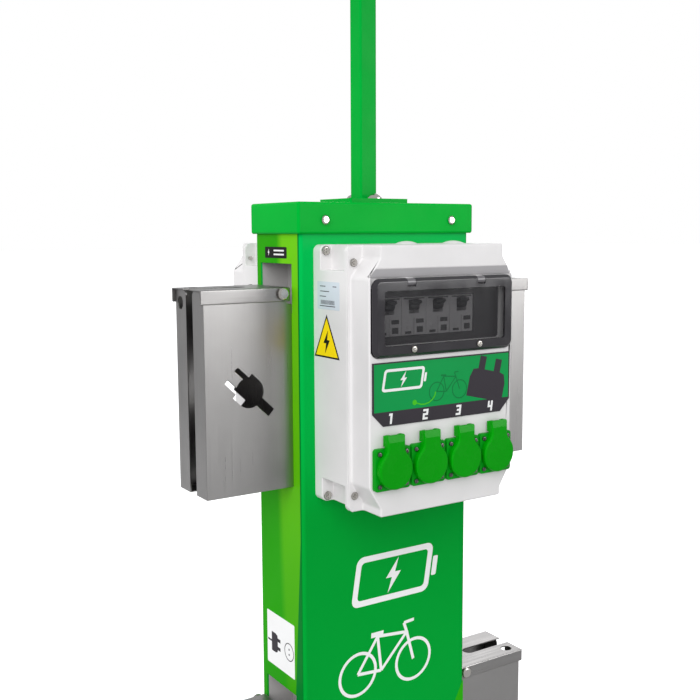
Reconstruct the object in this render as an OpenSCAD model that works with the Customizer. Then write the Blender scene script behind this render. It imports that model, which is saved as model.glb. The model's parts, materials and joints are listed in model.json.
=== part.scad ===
// Street charging post for e-bikes: a sheet-steel column with a cap and a mast,
// a socket enclosure on its front and its back face, and four charger lockers
// on its sides. Millimetres, +Z up, origin on the ground at the column's centre.
// The front faces -Y. The back enclosure and the right lockers are the front and
// left ones turned half a turn about Z.

/* [Column] */
// Width of the column, side to side
col_w = 260; // [240:1:320]
// Depth of the column, front to back
col_d = 112; // [108:1:160]
// Height of the cap's lower edge above the ground
post_h = 1100; // [1000:5:1400]
// Sheet thickness of the column
col_wall = 2.5; // [2:0.5:4]
// Radius of the column's bent corners
col_r = 5; // [3:0.5:10]
// Reach of the base plate past the column's sides
base_side = 35; // [30:1:80]
// Reach of the base plate past the column's front and back
base_front = 34; // [30:1:80]
// Thickness of the base plate
base_t = 8; // [6:1:15]
// Diameter of the four anchor holes
anchor_d = 14; // [10:1:18]
// Distance from the base plate's edges to the anchor hole centres
anchor_inset = 18; // [14:1:20]
// Diameter of the cable hole in the base plate
entry_d = 40; // [30:1:60]
// Bore of the rubber grommet in the cable hole
grommet_bore = 25; // [15:1:28]

/* [Cap] */
// Height of the cap's skirt, with its top sheet
cap_h = 38.5; // [34:0.5:60]
// Sheet thickness of the cap
cap_wall = 2; // [1.5:0.5:3]
// Gap between the cap's skirt and the column
cap_gap = 2.5; // [1:0.5:4]
// Distance of the cap screws from the column's centre plane
cap_screw_x = 97; // [60:1:110]
// Height of the cap screws above the cap's lower edge
cap_screw_z = 17; // [10:1:25]

/* [Mast] */
// Width of the square mast tube
mast_w = 25; // [20:1:30]
// Wall of the mast tube
mast_wall = 2; // [1.5:0.5:3]
// Length of the mast above its flange
mast_l = 700; // [400:10:1200]
// Width of the mast's flange plate
flange_w = 90; // [70:1:110]
// Depth of the mast's flange plate
flange_d = 74; // [70:1:90]
// Thickness of the mast's flange plate
flange_t = 6; // [4:0.5:10]
// Distance of the mast bolts from the mast's centre
mast_bolt_y = 25; // [23:0.5:28]
// Shank diameter of the mast bolts
mast_bolt_d = 10; // [8:1:10]

/* [Lockers] */
// Reach of a locker's lid from the column
lock_l = 122; // [100:1:160]
// Width of a locker over its lid flanges
lock_t = 81.4; // [76:0.2:100]
// Height of a locker from the lid's top to the floor
lock_h = 249; // [200:1:300]
// Sheet thickness of the lockers
lock_wall = 1.5; // [1:0.1:2]
// Depth of the upper lids' tops below the cap's lower edge
lock_drop = 64; // [60:1:120]
// Distance between the upper and the lower lockers
lock_pitch = 551; // [500:1:700]
// Offset of the left lockers towards the back
lock_y = 3.5; // [0:0.5:6]
// Depth of the lid's side flanges
lid_flange = 17; // [15:0.5:25]
// Overhang of the lid past the locker's end plate
lid_over = 4; // [2:0.5:6]
// Gap between the lid and the locker body
lid_gap = 0.4; // [0.3:0.1:1]
// Gap between the lid's inner end and the column
lid_back_gap = 3.2; // [2.5:0.1:6]
// Width of the cable slot in the lid, the end plate and the floor
slot_w = 18; // [12:1:24]
// Length of the cable slot in the lid and the floor
slot_l = 69; // [50:1:80]
// Diameter of the padlock holes
padlock_d = 16; // [10:1:18]
// Distance of the padlock holes from the lid's edge and from its top
padlock_in = 17.5; // [14:0.5:24]
// Distance of the padlock holes from the locker's centre plane
padlock_y = 25; // [20:0.5:27]
// Distance of the lid pivots from the column
pivot_x = 13.4; // [12:0.2:20]
// Distance of the lid pivots below the lid's top
pivot_z = 7.5; // [7:0.5:9]
// Shank diameter of the pivot bolts
pivot_d = 8; // [6:1:8]
// Height of the column's recess above a lid's top
recess_up = 28; // [20:1:30]
// Height of the column's recess below a lid's top
recess_down = 32; // [24:1:40]
// Width of the column's recess
recess_w = 78; // [60:1:80]
// Depth of the recess pan behind the column's sheet
pan_depth = 38; // [20:1:60]
// Sheet thickness of the recess pan
pan_wall = 1.2; // [1:0.1:2]

/* [Enclosure] */
// Width of the enclosure's base and of the cover's rim
enc_w = 222; // [220:1:250]
// Width of the cover's body
cover_w = 214; // [212:1:220]
// Height of the enclosure
enc_h = 314; // [300:1:360]
// Depth of the enclosure's top below the cap's lower edge
enc_drop = 12.5; // [5:0.5:40]
// Depth of the enclosure's base
enc_base_d = 73; // [70:1:100]
// Depth of the enclosure's cover
cover_d = 40; // [36:1:60]
// Wall of the enclosure
enc_wall = 3; // [2:0.5:4]
// Width of the corner niches that hold the screws
niche_w = 16; // [15:1:20]
// Height of the base's corner niches
niche_h = 30; // [26:1:34]
// Thickness of the feet that the wall screws clamp
foot_t = 16; // [10:1:24]
// Thickness of the rims at the joint of base and cover
rim_t = 6; // [4:0.5:8]
// Height of the straight part of the cover's upper corner cuts
cut_top = 15; // [13:1:18]
// Height of the sloped part of the cover's upper corner cuts
slope_top = 23; // [15:1:28]
// Height of the straight part of the cover's lower corner cuts
cut_low = 10; // [6:1:12]
// Height of the sloped part of the cover's lower corner cuts
slope_low = 26; // [20:1:30]
// Distance of the cover screws from the enclosure's top and bottom
cover_screw_z = 20; // [18:1:22]
// Distance of the cover screws from the enclosure's sides
cover_screw_x = 7; // [6:0.5:8]
// Distance of the wall screws from the enclosure's sides
wall_screw_x = 7; // [6:0.5:9]
// Distance of the wall screws from the enclosure's top and bottom
wall_screw_z = 7; // [6:0.5:9]

/* [Window] */
// Width of the window lid
win_w = 208; // [190:1:208]
// Height of the window lid
win_h = 90; // [84:1:96]
// Depth of the window lid's top edge below the enclosure's top
win_drop = 37.5; // [30:0.5:44]
// Depth of the pocket that the window lid lies in
pocket_d = 4; // [4:0.5:6]
// How far the window lid stands out of the cover's face
win_out = 6.5; // [5:0.5:8]
// Wall of the window lid
win_wall = 2.5; // [2:0.5:3]
// Gap around the window lid
win_gap = 0.6; // [0.4:0.1:1]
// Height of the sloped band above the window lid
band_h = 11; // [8:0.5:14]
// Width of the clear opening behind the window lid
sight_w = 180; // [160:1:184]
// Height of the clear opening behind the window lid
sight_h = 64; // [56:1:66]
// Distance of the hinge lugs from the centre plane
lug_x = 52; // [40:1:60]
// Width of the hinge lugs
lug_w = 11.5; // [8:0.5:14]
// Diameter of the window's hinge pins
win_pin_d = 3; // [2:0.5:4]
// Distance of the window screws from the centre plane
win_screw_x = 49; // [40:1:70]

/* [Breakers] */
// Number of two-module breakers
breakers = 4; // [2:1:4]
// Width of a breaker
breaker_w = 35.6; // [35:0.1:36]
// Height of a breaker's body
breaker_h = 82; // [78:1:84]
// Height of a breaker's nose, which shows through the mask
nose_h = 45; // [45:1:46]
// Left edge of the row of breakers
row_x = -92; // [-94:1:-60]
// Width of a breaker's toggle
toggle_w = 14; // [10:1:16]

/* [Sockets] */
// Number of sockets in a row
sockets = 4; // [2:1:4]
// Distance from socket to socket
socket_pitch = 52; // [51:0.5:53]
// Width of a socket's flange
socket_w = 50; // [48:1:50]
// Thickness of a socket's flange
socket_t = 6; // [5:0.5:8]
// Height of the socket centres above the enclosure's bottom
socket_z = 57.5; // [54:0.5:70]
// Inner diameter of a socket's well
well_d = 39.5; // [38:0.5:40]
// Depth of a socket's well behind its rim
well_depth = 19; // [17:0.5:20]
// Outer diameter of the rim around a well
rim_d = 43; // [43:0.5:44]
// Height of the rim above the flange
rim_out = 5; // [3:0.5:6]
// Diameter of the socket's body behind the cover
body_d = 46; // [45:0.5:47]
// Spacing of a socket's screws
socket_screw_pitch = 38; // [36:0.5:40]
// Diameter of a flap's disc
flap_d = 47; // [46:0.5:48]
// Wall of a flap
flap_wall = 2.4; // [1.5:0.1:3]
// Width of a flap's neck
neck_w = 22; // [18:0.5:26]
// Height of a flap's pin above the socket's centre
flap_pin_z = 36; // [34:0.5:38]
// Diameter of a flap's pin
flap_pin_d = 3; // [2:0.5:3]

/* [Sign] */
// Width of the sign plate
sign_w = 207; // [180:1:208]
// Height of the sign plate
sign_h = 74; // [60:1:76]
// Thickness of the sign plate
sign_t = 1.5; // [1:0.5:3]
// Size of the sign plate's cut lower corners
sign_cut = 15; // [5:1:20]
// Depth of the sign plate's top edge below the enclosure's top
sign_drop = 133; // [130:1:140]

/* [Hidden] */
$fn = 48;
eps = 1;                                   // how far a cut runs past a face
fit = 0.3;                                 // clearance round a piece that goes in or moves
pin_fit = 0.1;                             // clearance of a hole that turns on a pin

green = "#12a33a";
steel = "#b9bbbd";
grey_abs = "#e3e3e2";
dark = "#2a2c2e";

cap_z = post_h;                            // the cap's lower edge
cap_top = cap_z + cap_h;                   // the cap's upper face
col_top = cap_top - cap_wall;              // the column carries the cap's sheet
cap_out = cap_gap + cap_wall;              // overhang of the cap on each side
base_w = col_w + 2*base_side;
base_d = col_d + 2*base_front;
base_r = 10;                               // corner radius of the base plate
anchor_x = base_w/2 - anchor_inset;
anchor_y = base_d/2 - anchor_inset;
cap_screw_d = 6;
flange_top = cap_top + flange_t;
mast_top = flange_top + mast_l;

body_half = lock_t/2 - lock_wall - lid_gap;  // half width of a locker's body
body_l = lock_l - lid_over;                // reach of a locker's body
body_top = -lock_wall - lid_gap;           // top edge of the body below the lid
ear_r = pivot_z - lock_wall - fit;         // ear that carries the pivot bolt
notch_z = hypotenuse(pivot_x - lid_back_gap, pivot_z) + pivot_z;  // reach of the lid's heel
lock_screw_d = 6;
lock_screw_y = 28;                         // their distance from the locker's centre plane
lock_screws_z = [-70, 49 - lock_h];        // heights of the fixing screws
levels = [cap_z - lock_drop, cap_z - lock_drop - lock_pitch];

enc_top = cap_z - enc_drop;
enc_low = enc_top - enc_h;
enc_mid = (enc_top + enc_low)/2;
face = enc_base_d + cover_d;               // the cover's face, out from the column
split = enc_base_d;
niche_end = split - rim_t;
cover_rim = 3;                             // thickness of the cover's rim
cover_screw_d = 5;
wall_screw_d = 6;
branch_d = 14;                             // branch cables, through the column and the bases
branch_x = 20;                             // distance of the branch cables from the centre plane
enc_r = 8;                                 // corner radius of the enclosure
plug_bore = 20;                            // blanking plugs in the enclosure's top
plug_head_d = 29;
plug_head_h = 3.5;
plug_x = [-5, 68];
plug_out = 45;
junction_w = 90;                           // junction box on the column's back wall
junction_d = 66;
junction_h = 110;
junction_wall = 3;
junction_top = enc_low - 120;
junction_low = junction_top - junction_h;
gasket_t = 1.2;                            // sealing cord in the joint
gasket_in = 0.9;                           // distance of the sealing cord from the rim's edge

win_top = enc_top - win_drop;
win_low = win_top - win_h;
win_mid = (win_top + win_low)/2;
win_face = face + win_out;
pocket = face - pocket_d;
hinge_z = win_top - 5;
hinge_out = win_face - 4.5;
lug_r = 4;
sight_mid = win_mid;
win_screw_d = 4;
win_screw_z = win_low + 8;
win_r = 10;                                // corner radius of the window lid

mask_out = pocket - enc_wall;              // the mask lies on the cover's inner face
mask_t = 3;
nose_out = mask_out - 0.5;                 // front of the breakers' noses
breaker_out = 90;                          // front of the breakers' shoulders
rail_out = 40;                             // front of the DIN rail
rail_h = 35;
rail_l = 190;
rail_post_x = 70;                          // distance of the rail's standoffs from the middle
toggle_z = win_mid + 12;
toggle_out = nose_out - 3.5;
toggle_r = 5.5;
toggle_reach = 11;                         // length of a toggle's lever from its pivot
toggle_tilt = 30;                          // a toggle that is on points this far up
toggle_t = 3.6;                            // thickness of a toggle's lever
button_d = 5;                              // test button, left of a toggle and below it
button_x = -9;
button_drop = 12;

sock_z = enc_low + socket_z;
flange_out = face + socket_t;
rim_face = flange_out + rim_out;
floor_out = rim_face - well_depth;
flap_in = rim_face + 0.6;                  // inner face of a flap's front wall
flap_out = flap_in + flap_wall;
flap_pin_out = face + 7;
flap_tab_w = 14;                           // hinge tab of a socket, inside a flap's neck
flap_tab_r = 4;
neck_top = flap_pin_z + 5;
socket_screw_d = 4;
socket_hole = body_d + 0.6;

function hypotenuse(a, b) = sqrt(a*a + b*b);
function span(middle, half) = [middle - half, middle + half];
function socket_x(i) = (i - (sockets + 1)/2)*socket_pitch;
function breaker_x(i) = row_x + (i - 0.5)*breaker_w;

// ---- helpers -----------------------------------------------------------------

// A block between two X, two Y and two Z values.
module block(x, y, z) {
    translate([x[0], y[0], z[0]]) cube([x[1] - x[0], y[1] - y[0], z[1] - z[0]]);
}

// A flat rectangle with round corners, centred, with exact arcs.
module round_rect(w, d, r) {
    square([w - 2*r, d], center = true);
    square([w, d - 2*r], center = true);
    for (x = [-1, 1], y = [-1, 1]) translate([x*(w/2 - r), y*(d/2 - r)]) circle(r);
}

// A rounded slab that stands out from a column face, from depth a to depth b.
module face_slab(w, h, r, mid, a, b) {
    translate([0, -a, mid]) rotate([90, 0, 0]) linear_extrude(b - a) round_rect(w, h, r);
}

// A round bar along X, Y or Z from one value to another.
module bar_x(d, x, y, z) {
    translate([x[0], y, z]) rotate([0, 90, 0]) cylinder(h = x[1] - x[0], d = d);
}
module bar_y(d, x, y, z) {
    translate([x, y[1], z]) rotate([90, 0, 0]) cylinder(h = y[1] - y[0], d = d);
}
module bar_z(d, x, y, z) {
    translate([x, y, z[0]]) cylinder(h = z[1] - z[0], d = d);
}

// What it holds is drawn in front of the front face, at -Y from the column.
module on_front() { translate([0, -col_d/2, 0]) children(); }
module on_back() { rotate([0, 0, 180]) translate([0, -col_d/2, 0]) children(); }
module on_both() {
    on_front() children();
    on_back() children();
}

// What it holds is drawn for a left locker, with the lid's top at z = 0,
// the column's side at x = 0 and the locker's reach along -X.
module on_left(level) { translate([-col_w/2, lock_y, level]) children(); }
module on_right(level) { rotate([0, 0, 180]) on_left(level) children(); }
module on_sides() {
    for (level = levels) {
        on_left(level) children();
        on_right(level) children();
    }
}

// A screw along +Y: its head stands out of y = 0 towards -Y.
module screw_y(d, head_d, head_h, l) {
    rotate([-90, 0, 0]) {
        cylinder(h = l, d = d);
        dome_head(d, head_d, head_h);
    }
}

// A button head below z = 0 with a hexagon socket.
module dome_head(d, head_d, head_h) {
    difference() {
        rotate_extrude() intersection() {
            translate([0, -head_h]) square([head_d/2, head_h]);
            translate([0, dome_drop(head_d, head_h)]) circle(dome_r(head_d, head_h));
        }
        translate([0, 0, -head_h - eps]) cylinder(h = head_h*0.6 + eps, d = d*0.6, $fn = 6);
    }
}
function dome_r(w, h) = (w*w/4 + h*h)/(2*h);
function dome_drop(w, h) = dome_r(w, h) - h;

// ---- column, cap and mast ------------------------------------------------------

module base_plate() {
    color(green) difference() {
        linear_extrude(base_t) round_rect(base_w, base_d, base_r);
        for (x = [-anchor_x, anchor_x], y = [-anchor_y, anchor_y])
            bar_z(anchor_d, x, y, [-eps, base_t + eps]);
        bar_z(entry_d, 0, 0, [-eps, base_t + eps]);
    }
}

module base_grommet() {
    collar = 5;
    collar_h = 4;
    color(dark) difference() {
        union() {
            bar_z(entry_d, 0, 0, [0, base_t]);
            bar_z(entry_d + 2*collar, 0, 0, [base_t, base_t + collar_h]);
        }
        bar_z(grommet_bore, 0, 0, [-eps, base_t + collar_h + eps]);
    }
}

module column_shell() {
    color(green) difference() {
        translate([0, 0, base_t]) linear_extrude(col_top - base_t) difference() {
            round_rect(col_w, col_d, col_r);
            round_rect(col_w - 2*col_wall, col_d - 2*col_wall, col_r - col_wall);
        }
        on_sides() {
            block([-eps, col_wall + eps], [-recess_w/2, recess_w/2], [-recess_down, recess_up]);
            for (y = [-lock_screw_y, lock_screw_y], z = lock_screws_z)
                bar_x(lock_screw_d, [-eps, col_wall + eps], y, z);
        }
        on_both() {
            for (x = [-cap_screw_x, cap_screw_x])
                bar_y(cap_screw_d, x, [-eps, col_wall + eps], cap_z + cap_screw_z);
            wall_screw_places() bar_y(wall_screw_d, 0, [-eps, col_wall + eps], 0);
            bar_y(branch_d, branch_x, [-eps, col_wall + eps], enc_mid);
        }
    }
}

module cap() {
    color(green) difference() {
        translate([0, 0, cap_z]) linear_extrude(cap_h)
            round_rect(col_w + 2*cap_out, col_d + 2*cap_out, col_r + cap_out);
        translate([0, 0, cap_z - eps]) linear_extrude(cap_h - cap_wall + eps)
            round_rect(col_w + 2*cap_gap, col_d + 2*cap_gap, col_r + cap_gap);
        on_both() for (x = [-cap_screw_x, cap_screw_x])
            bar_y(cap_screw_d + fit, x, [-cap_out - eps, eps], cap_z + cap_screw_z);
        for (y = [-mast_bolt_y, mast_bolt_y])
            bar_z(mast_bolt_d + fit, 0, y, [cap_top - cap_wall - eps, cap_top + eps]);
    }
}

module cap_screws() {
    color(steel) on_both() for (x = [-cap_screw_x, cap_screw_x])
        translate([x, -cap_out, cap_z + cap_screw_z])
            screw_y(cap_screw_d, 11, 3.3, cap_out + col_wall + 4);
}

module mast_flange() {
    color(green) difference() {
        translate([0, 0, cap_top]) linear_extrude(flange_t) round_rect(flange_w, flange_d, 3);
        for (y = [-mast_bolt_y, mast_bolt_y])
            bar_z(mast_bolt_d + fit, 0, y, [cap_top - eps, flange_top + eps]);
    }
}

module mast_tube() {
    color(green) translate([0, 0, flange_top]) linear_extrude(mast_l) difference() {
        round_rect(mast_w, mast_w, 2.5);
        square(mast_w - 2*mast_wall, center = true);
    }
}

module mast_bolts() {
    washer_t = 1.5;
    color(steel) for (y = [-mast_bolt_y, mast_bolt_y]) translate([0, y, 0]) {
        difference() {
            bar_z(19, 0, 0, [flange_top, flange_top + washer_t]);
            bar_z(mast_bolt_d, 0, 0, [flange_top - eps, flange_top + washer_t + eps]);
        }
        translate([0, 0, flange_top + washer_t]) mirror([0, 0, 1]) {
            cylinder(h = flange_t + washer_t + cap_wall + 12, d = mast_bolt_d);
            dome_head(mast_bolt_d, 17.5, 5.5);
        }
        difference() {
            translate([0, 0, cap_top - cap_wall - 8]) cylinder(h = 8, d = 18, $fn = 6);
            bar_z(mast_bolt_d, 0, 0, [cap_top - cap_wall - 8 - eps, cap_top]);
        }
    }
}

module mast_end_cap() {
    plug_w = mast_w - 2*mast_wall;
    color(dark) {
        translate([0, 0, mast_top]) linear_extrude(4) round_rect(mast_w, mast_w, 2.5);
        translate([0, 0, mast_top - 14]) linear_extrude(14) difference() {
            square(plug_w, center = true);
            square(plug_w - 4, center = true);
        }
    }
}

// ---- inside the column -----------------------------------------------------------

module junction_box() {
    back = col_d/2 - col_wall;
    half = junction_w/2;
    color(grey_abs) difference() {
        block([-half, half], [back - junction_d, back], [junction_low, junction_top]);
        block([-half + junction_wall, half - junction_wall],
              [back - junction_d + junction_wall, back - junction_wall],
              [junction_low + junction_wall, junction_top - junction_wall]);
        for (x = [-branch_x, branch_x])
            bar_z(branch_d, x, 0, [junction_top - junction_wall - eps, junction_top + eps]);
        bar_z(grommet_bore, 0, 0, [junction_low - eps, junction_low + junction_wall + eps]);
    }
}

// Each branch rises from the junction box and turns through the column's face.
module branch_cables() {
    color(dark) for (turn = [0, 180]) rotate([0, 0, turn]) {
        bar_z(branch_d, branch_x, 0, [junction_top - junction_wall, enc_mid]);
        translate([branch_x, 0, enc_mid]) sphere(d = branch_d);
        bar_y(branch_d, branch_x, [-col_d/2 - enc_wall - 12, 0], enc_mid);
    }
}

module recess_pans() {
    half = recess_w/2;
    x_in = col_wall + pan_depth;
    color(steel) on_sides() difference() {
        block([col_wall, x_in], [-half - pan_wall, half + pan_wall],
              [-recess_down - pan_wall, recess_up + pan_wall]);
        block([col_wall - eps, x_in - pan_wall], [-half, half], [-recess_down, recess_up]);
    }
}

// ---- lockers -----------------------------------------------------------------------

// The plug-shaped sight hole, in the plane of a locker's side, seen from the left
// column's front: a domed plug body with two prongs and the stub of its lead,
// turned so that the prongs point up and out.
module plug_shape() {
    r = 19;
    shoulder = 13;
    prong = [6, 22];
    lead = [11, 24];
    translate([-lock_l/2 - 2, -lock_h/2 + 3.5]) rotate(47) {
        translate([0, -5]) circle(r);
        translate([-r, -5]) square([2*r, shoulder]);
        for (x = [-13, 7]) translate([x, 6]) square(prong);
        translate([-lead[0]/2, -45]) square(lead);
    }
}

module plug_hole() {
    rotate([90, 0, 0]) translate([0, 0, -body_half - eps]) linear_extrude(2*body_half + 2*eps)
        plug_shape();
}

// Side plate outline: full height, with a notch beside the column that lets the
// lid's heel swing down, and a round ear for the pivot bolt.
module side_outline() {
    difference() {
        translate([-body_l, -lock_h]) square([body_l, lock_h + body_top]);
        translate([-pivot_x, -notch_z]) square([pivot_x + eps, notch_z + eps]);
    }
    translate([-pivot_x, -pivot_z]) circle(ear_r);
    translate([-pivot_x - ear_r, -notch_z - eps]) square([2*ear_r, notch_z - pivot_z + eps]);
}

module locker_body() {
    inner = body_half - lock_wall;
    color(steel) difference() {
        union() {
            for (y = [-body_half, inner]) translate([0, y + lock_wall, 0]) rotate([90, 0, 0])
                linear_extrude(lock_wall) side_outline();
            block([-lock_wall, 0], [-body_half, body_half], [-lock_h, -recess_down + 2]);
            block([-body_l, 0], [-body_half, body_half], [-lock_h, -lock_h + lock_wall]);
            block([-body_l, -body_l + lock_wall], [-body_half, body_half], [-lock_h, body_top]);
        }
        block([-body_l - eps, -body_l + lock_wall + eps], [-slot_w/2, slot_w/2],
              [-lock_h - eps, eps]);
        block([-lock_l, -lock_l + slot_l], [-slot_w/2, slot_w/2],
              [-lock_h - eps, -lock_h + lock_wall + eps]);
        bar_z(slot_w, -lock_l + slot_l, 0, [-lock_h - eps, -lock_h + lock_wall + eps]);
        slot_corners();
        bar_x(padlock_d, [-body_l - eps, -body_l + lock_wall + eps], padlock_y, -padlock_in);
        bar_y(pivot_d, -pivot_x, [-body_half - eps, body_half + eps], -pivot_z);
        for (y = [-lock_screw_y, lock_screw_y], z = lock_screws_z)
            bar_x(lock_screw_d, [-lock_wall - eps, eps], y, z);
        plug_hole();
    }
}

// The end plate's two upper corners beside the slot are rounded off.
module slot_corners() {
    r = 6;
    for (side = [-1, 1]) difference() {
        block([-body_l - eps, -body_l + lock_wall + eps],
              side > 0 ? [slot_w/2 - eps, slot_w/2 + r] : [-slot_w/2 - r, -slot_w/2 + eps],
              [body_top - r, eps]);
        bar_x(2*r, [-body_l - 2*eps, -body_l + lock_wall + 2*eps],
              side*(slot_w/2 + r), body_top - r);
    }
}

module locker_lid() {
    half = lock_t/2;
    x = [-lock_l, -lid_back_gap];
    color(steel) difference() {
        union() {
            block(x, [-half, half], [-lock_wall, 0]);
            block(x, [-half, -half + lock_wall], [-lid_flange, 0]);
            block(x, [half - lock_wall, half], [-lid_flange, 0]);
        }
        block([-lock_l - eps, -lock_l + slot_l], [-slot_w/2, slot_w/2], [-lock_wall - eps, eps]);
        bar_z(slot_w, -lock_l + slot_l, 0, [-lock_wall - eps, eps]);
        bar_z(padlock_d, -lock_l + padlock_in, padlock_y, [-lock_wall - eps, eps]);
        bar_y(pivot_d + pin_fit, -pivot_x, [-half - eps, half + eps], -pivot_z);
    }
}

module lid_pivot_bolts() {
    color(steel) on_sides() for (turn = [0, 180]) translate([-pivot_x, 0, -pivot_z])
        rotate([0, 0, turn]) {
            translate([0, -lock_t/2, 0]) screw_y(pivot_d, 16, 5, lock_t/2 - body_half + lock_wall + 7);
            translate([0, -body_half + lock_wall, 0]) rotate([-90, 0, 0]) difference() {
                cylinder(h = 5, d = 10.5, $fn = 6);
                translate([0, 0, -eps]) cylinder(h = 5 + 2*eps, d = pivot_d);
            }
        }
}

module locker_screws() {
    grip = lock_wall + col_wall;
    color(steel) on_sides() for (y = [-lock_screw_y, lock_screw_y], z = lock_screws_z)
        translate([-lock_wall, y, z]) rotate([0, 0, -90]) {
            screw_y(lock_screw_d, 11, 3.3, grip + 8);
            translate([0, grip, 0]) rotate([-90, 0, 0]) difference() {
                cylinder(h = 5, d = 11, $fn = 6);
                translate([0, 0, -eps]) cylinder(h = 5 + 2*eps, d = lock_screw_d);
            }
        }
}

// ---- enclosures ---------------------------------------------------------------------

module wall_screw_places() {
    for (x = [-1, 1], z = [enc_low + wall_screw_z, enc_top - wall_screw_z])
        translate([x*(enc_w/2 - wall_screw_x), 0, z]) children();
}

module cover_screw_places() {
    for (x = [-1, 1], z = [enc_low + cover_screw_z, enc_top - cover_screw_z])
        translate([x*(enc_w/2 - cover_screw_x), 0, z]) children();
}

// The four corner columns of the base, w wide and h tall, from depth a to depth b.
module base_corners(w, h, a, b) {
    for (x = [-1, 1], z = [[enc_low - eps, enc_low + h], [enc_top - h, enc_top + eps]])
        block(x > 0 ? [enc_w/2 - w, enc_w/2 + eps] : [-enc_w/2 - eps, -enc_w/2 + w], [-b, -a], z);
}

module enclosure_base() {
    color(grey_abs) difference() {
        face_slab(enc_w, enc_h, enc_r, enc_mid, 0, split);
        difference() {
            block([-enc_w/2 + enc_wall, enc_w/2 - enc_wall], [-split - eps, -enc_wall],
                  [enc_low + enc_wall, enc_top - enc_wall]);
            base_corners(niche_w + enc_wall, niche_h + enc_wall, 0, split + 2*eps);
        }
        base_corners(niche_w, niche_h, foot_t, niche_end);
        wall_screw_places() bar_y(wall_screw_d + fit, 0, [-foot_t - eps, eps], 0);
        cover_screw_places() bar_y(cover_screw_d, 0, [-split - eps, -niche_end + eps], 0);
        bar_y(branch_d, branch_x, [-enc_wall - eps, eps], enc_mid);
        plug_places() bar_z(plug_bore, 0, 0, [enc_top - enc_wall - eps, enc_top + eps]);
    }
}

module plug_places() {
    for (x = plug_x) translate([x, -plug_out, 0]) children();
}

module blanking_plugs() {
    color(grey_abs) on_both() plug_places() {
        bar_z(plug_bore, 0, 0, [enc_top - enc_wall - 4, enc_top]);
        translate([0, 0, enc_top]) rotate_extrude() intersection() {
            square([plug_head_d/2, plug_head_h]);
            translate([0, -dome_drop(plug_head_d, plug_head_h)])
                circle(dome_r(plug_head_d, plug_head_h));
        }
    }
}

// The cover's outline, seen from the front, with its four corners cut for the screws.
module cover_outline(grow) {
    w = cover_w/2 + grow;
    t = enc_top - enc_mid + grow;
    n = niche_w - grow;
    polygon([
        [-w + n, -t], [w - n, -t],
        [w - n, -t + cut_low], [w, -t + cut_low + slope_low],
        [w, t - cut_top - slope_top], [w - n, t - cut_top],
        [w - n, t], [-w + n, t],
        [-w + n, t - cut_top], [-w, t - cut_top - slope_top],
        [-w, -t + cut_low + slope_low], [-w + n, -t + cut_low]]);
}

module cover_slab(grow, a, b) {
    translate([0, -a, enc_mid]) rotate([90, 0, 0]) linear_extrude(b - a) cover_outline(grow);
}

module window_band() {
    half = win_w/2 + win_gap;
    top = win_top + win_gap;
    translate([-half, 0, 0]) rotate([90, 0, 90]) linear_extrude(2*half)
        polygon([[-face - eps, top - win_r], [-pocket, top - win_r], [-pocket, top],
                 [-face, top + band_h], [-face - eps, top + band_h]]);
}

module enclosure_cover() {
    lug_top = hinge_z + lug_r;
    color(grey_abs) difference() {
        union() {
            face_slab(enc_w, enc_h, enc_r, enc_mid, split, split + cover_rim);
            cover_slab(0, split, face);
        }
        difference() {
            cover_slab(-enc_wall, split - eps, face - enc_wall);
            block([-win_w/2 - enc_wall, win_w/2 + enc_wall], [-face, -pocket + enc_wall],
                  [win_low - enc_wall, win_top + band_h + enc_wall]);
        }
        face_slab(win_w + 2*win_gap, win_h + 2*win_gap, win_r, win_mid, pocket, face + eps);
        window_band();
        face_slab(sight_w, sight_h, 4, sight_mid, pocket - enc_wall - eps, face);
        cover_screw_places()
            bar_y(cover_screw_d + fit, 0, [-split - cover_rim - eps, -split + eps], 0);
        for (i = [1 : sockets]) {
            bar_y(socket_hole, socket_x(i), [-face - eps, -face + enc_wall + eps], sock_z);
            socket_screw_places(i)
                bar_y(socket_screw_d, 0, [-face - eps, -face + enc_wall + eps], 0);
        }
        gasket_ring();
    }
    color(grey_abs) for (side = [-1, 1]) difference() {
        union() {
            bar_x(2*lug_r, span(side*lug_x, lug_w/2), -hinge_out, hinge_z);
            block(span(side*lug_x, lug_w/2), [-hinge_out, -pocket],
                  [hinge_z - lug_r, lug_top]);
        }
        bar_x(win_pin_d, span(side*lug_x, lug_w/2 + eps), -hinge_out, hinge_z);
    }
}

// The sealing cord's ring, which lies on the base's front edge.
module gasket_ring() {
    difference() {
        face_slab(enc_w - 2*gasket_in, enc_h - 2*gasket_in, enc_r - 1, enc_mid,
                  split, split + gasket_t);
        face_slab(enc_w - 2*gasket_in - 2*gasket_t, enc_h - 2*gasket_in - 2*gasket_t, enc_r - 2,
                  enc_mid, split - eps, split + gasket_t + eps);
    }
}

module cover_gaskets() {
    color(dark) on_both() gasket_ring();
}

module cover_screws() {
    color(steel) on_both() cover_screw_places() translate([0, -split - cover_rim, 0])
        screw_y(cover_screw_d, 9.5, 3, cover_rim + rim_t + 4);
}

module wall_screws() {
    color(steel) on_both() wall_screw_places() translate([0, -foot_t, 0])
        screw_y(wall_screw_d, 11, 3.5, foot_t + col_wall + 6);
}

module sign_plate() {
    t = enc_top - sign_drop;
    color(green) translate([0, -face, t]) rotate([90, 0, 0]) linear_extrude(sign_t)
        polygon([[-sign_w/2, 0], [-sign_w/2, -sign_h + sign_cut], [-sign_w/2 + sign_cut, -sign_h],
                 [sign_w/2 - sign_cut, -sign_h], [sign_w/2, -sign_h + sign_cut], [sign_w/2, 0]]);
}

// ---- breakers behind the window ------------------------------------------------------

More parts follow.
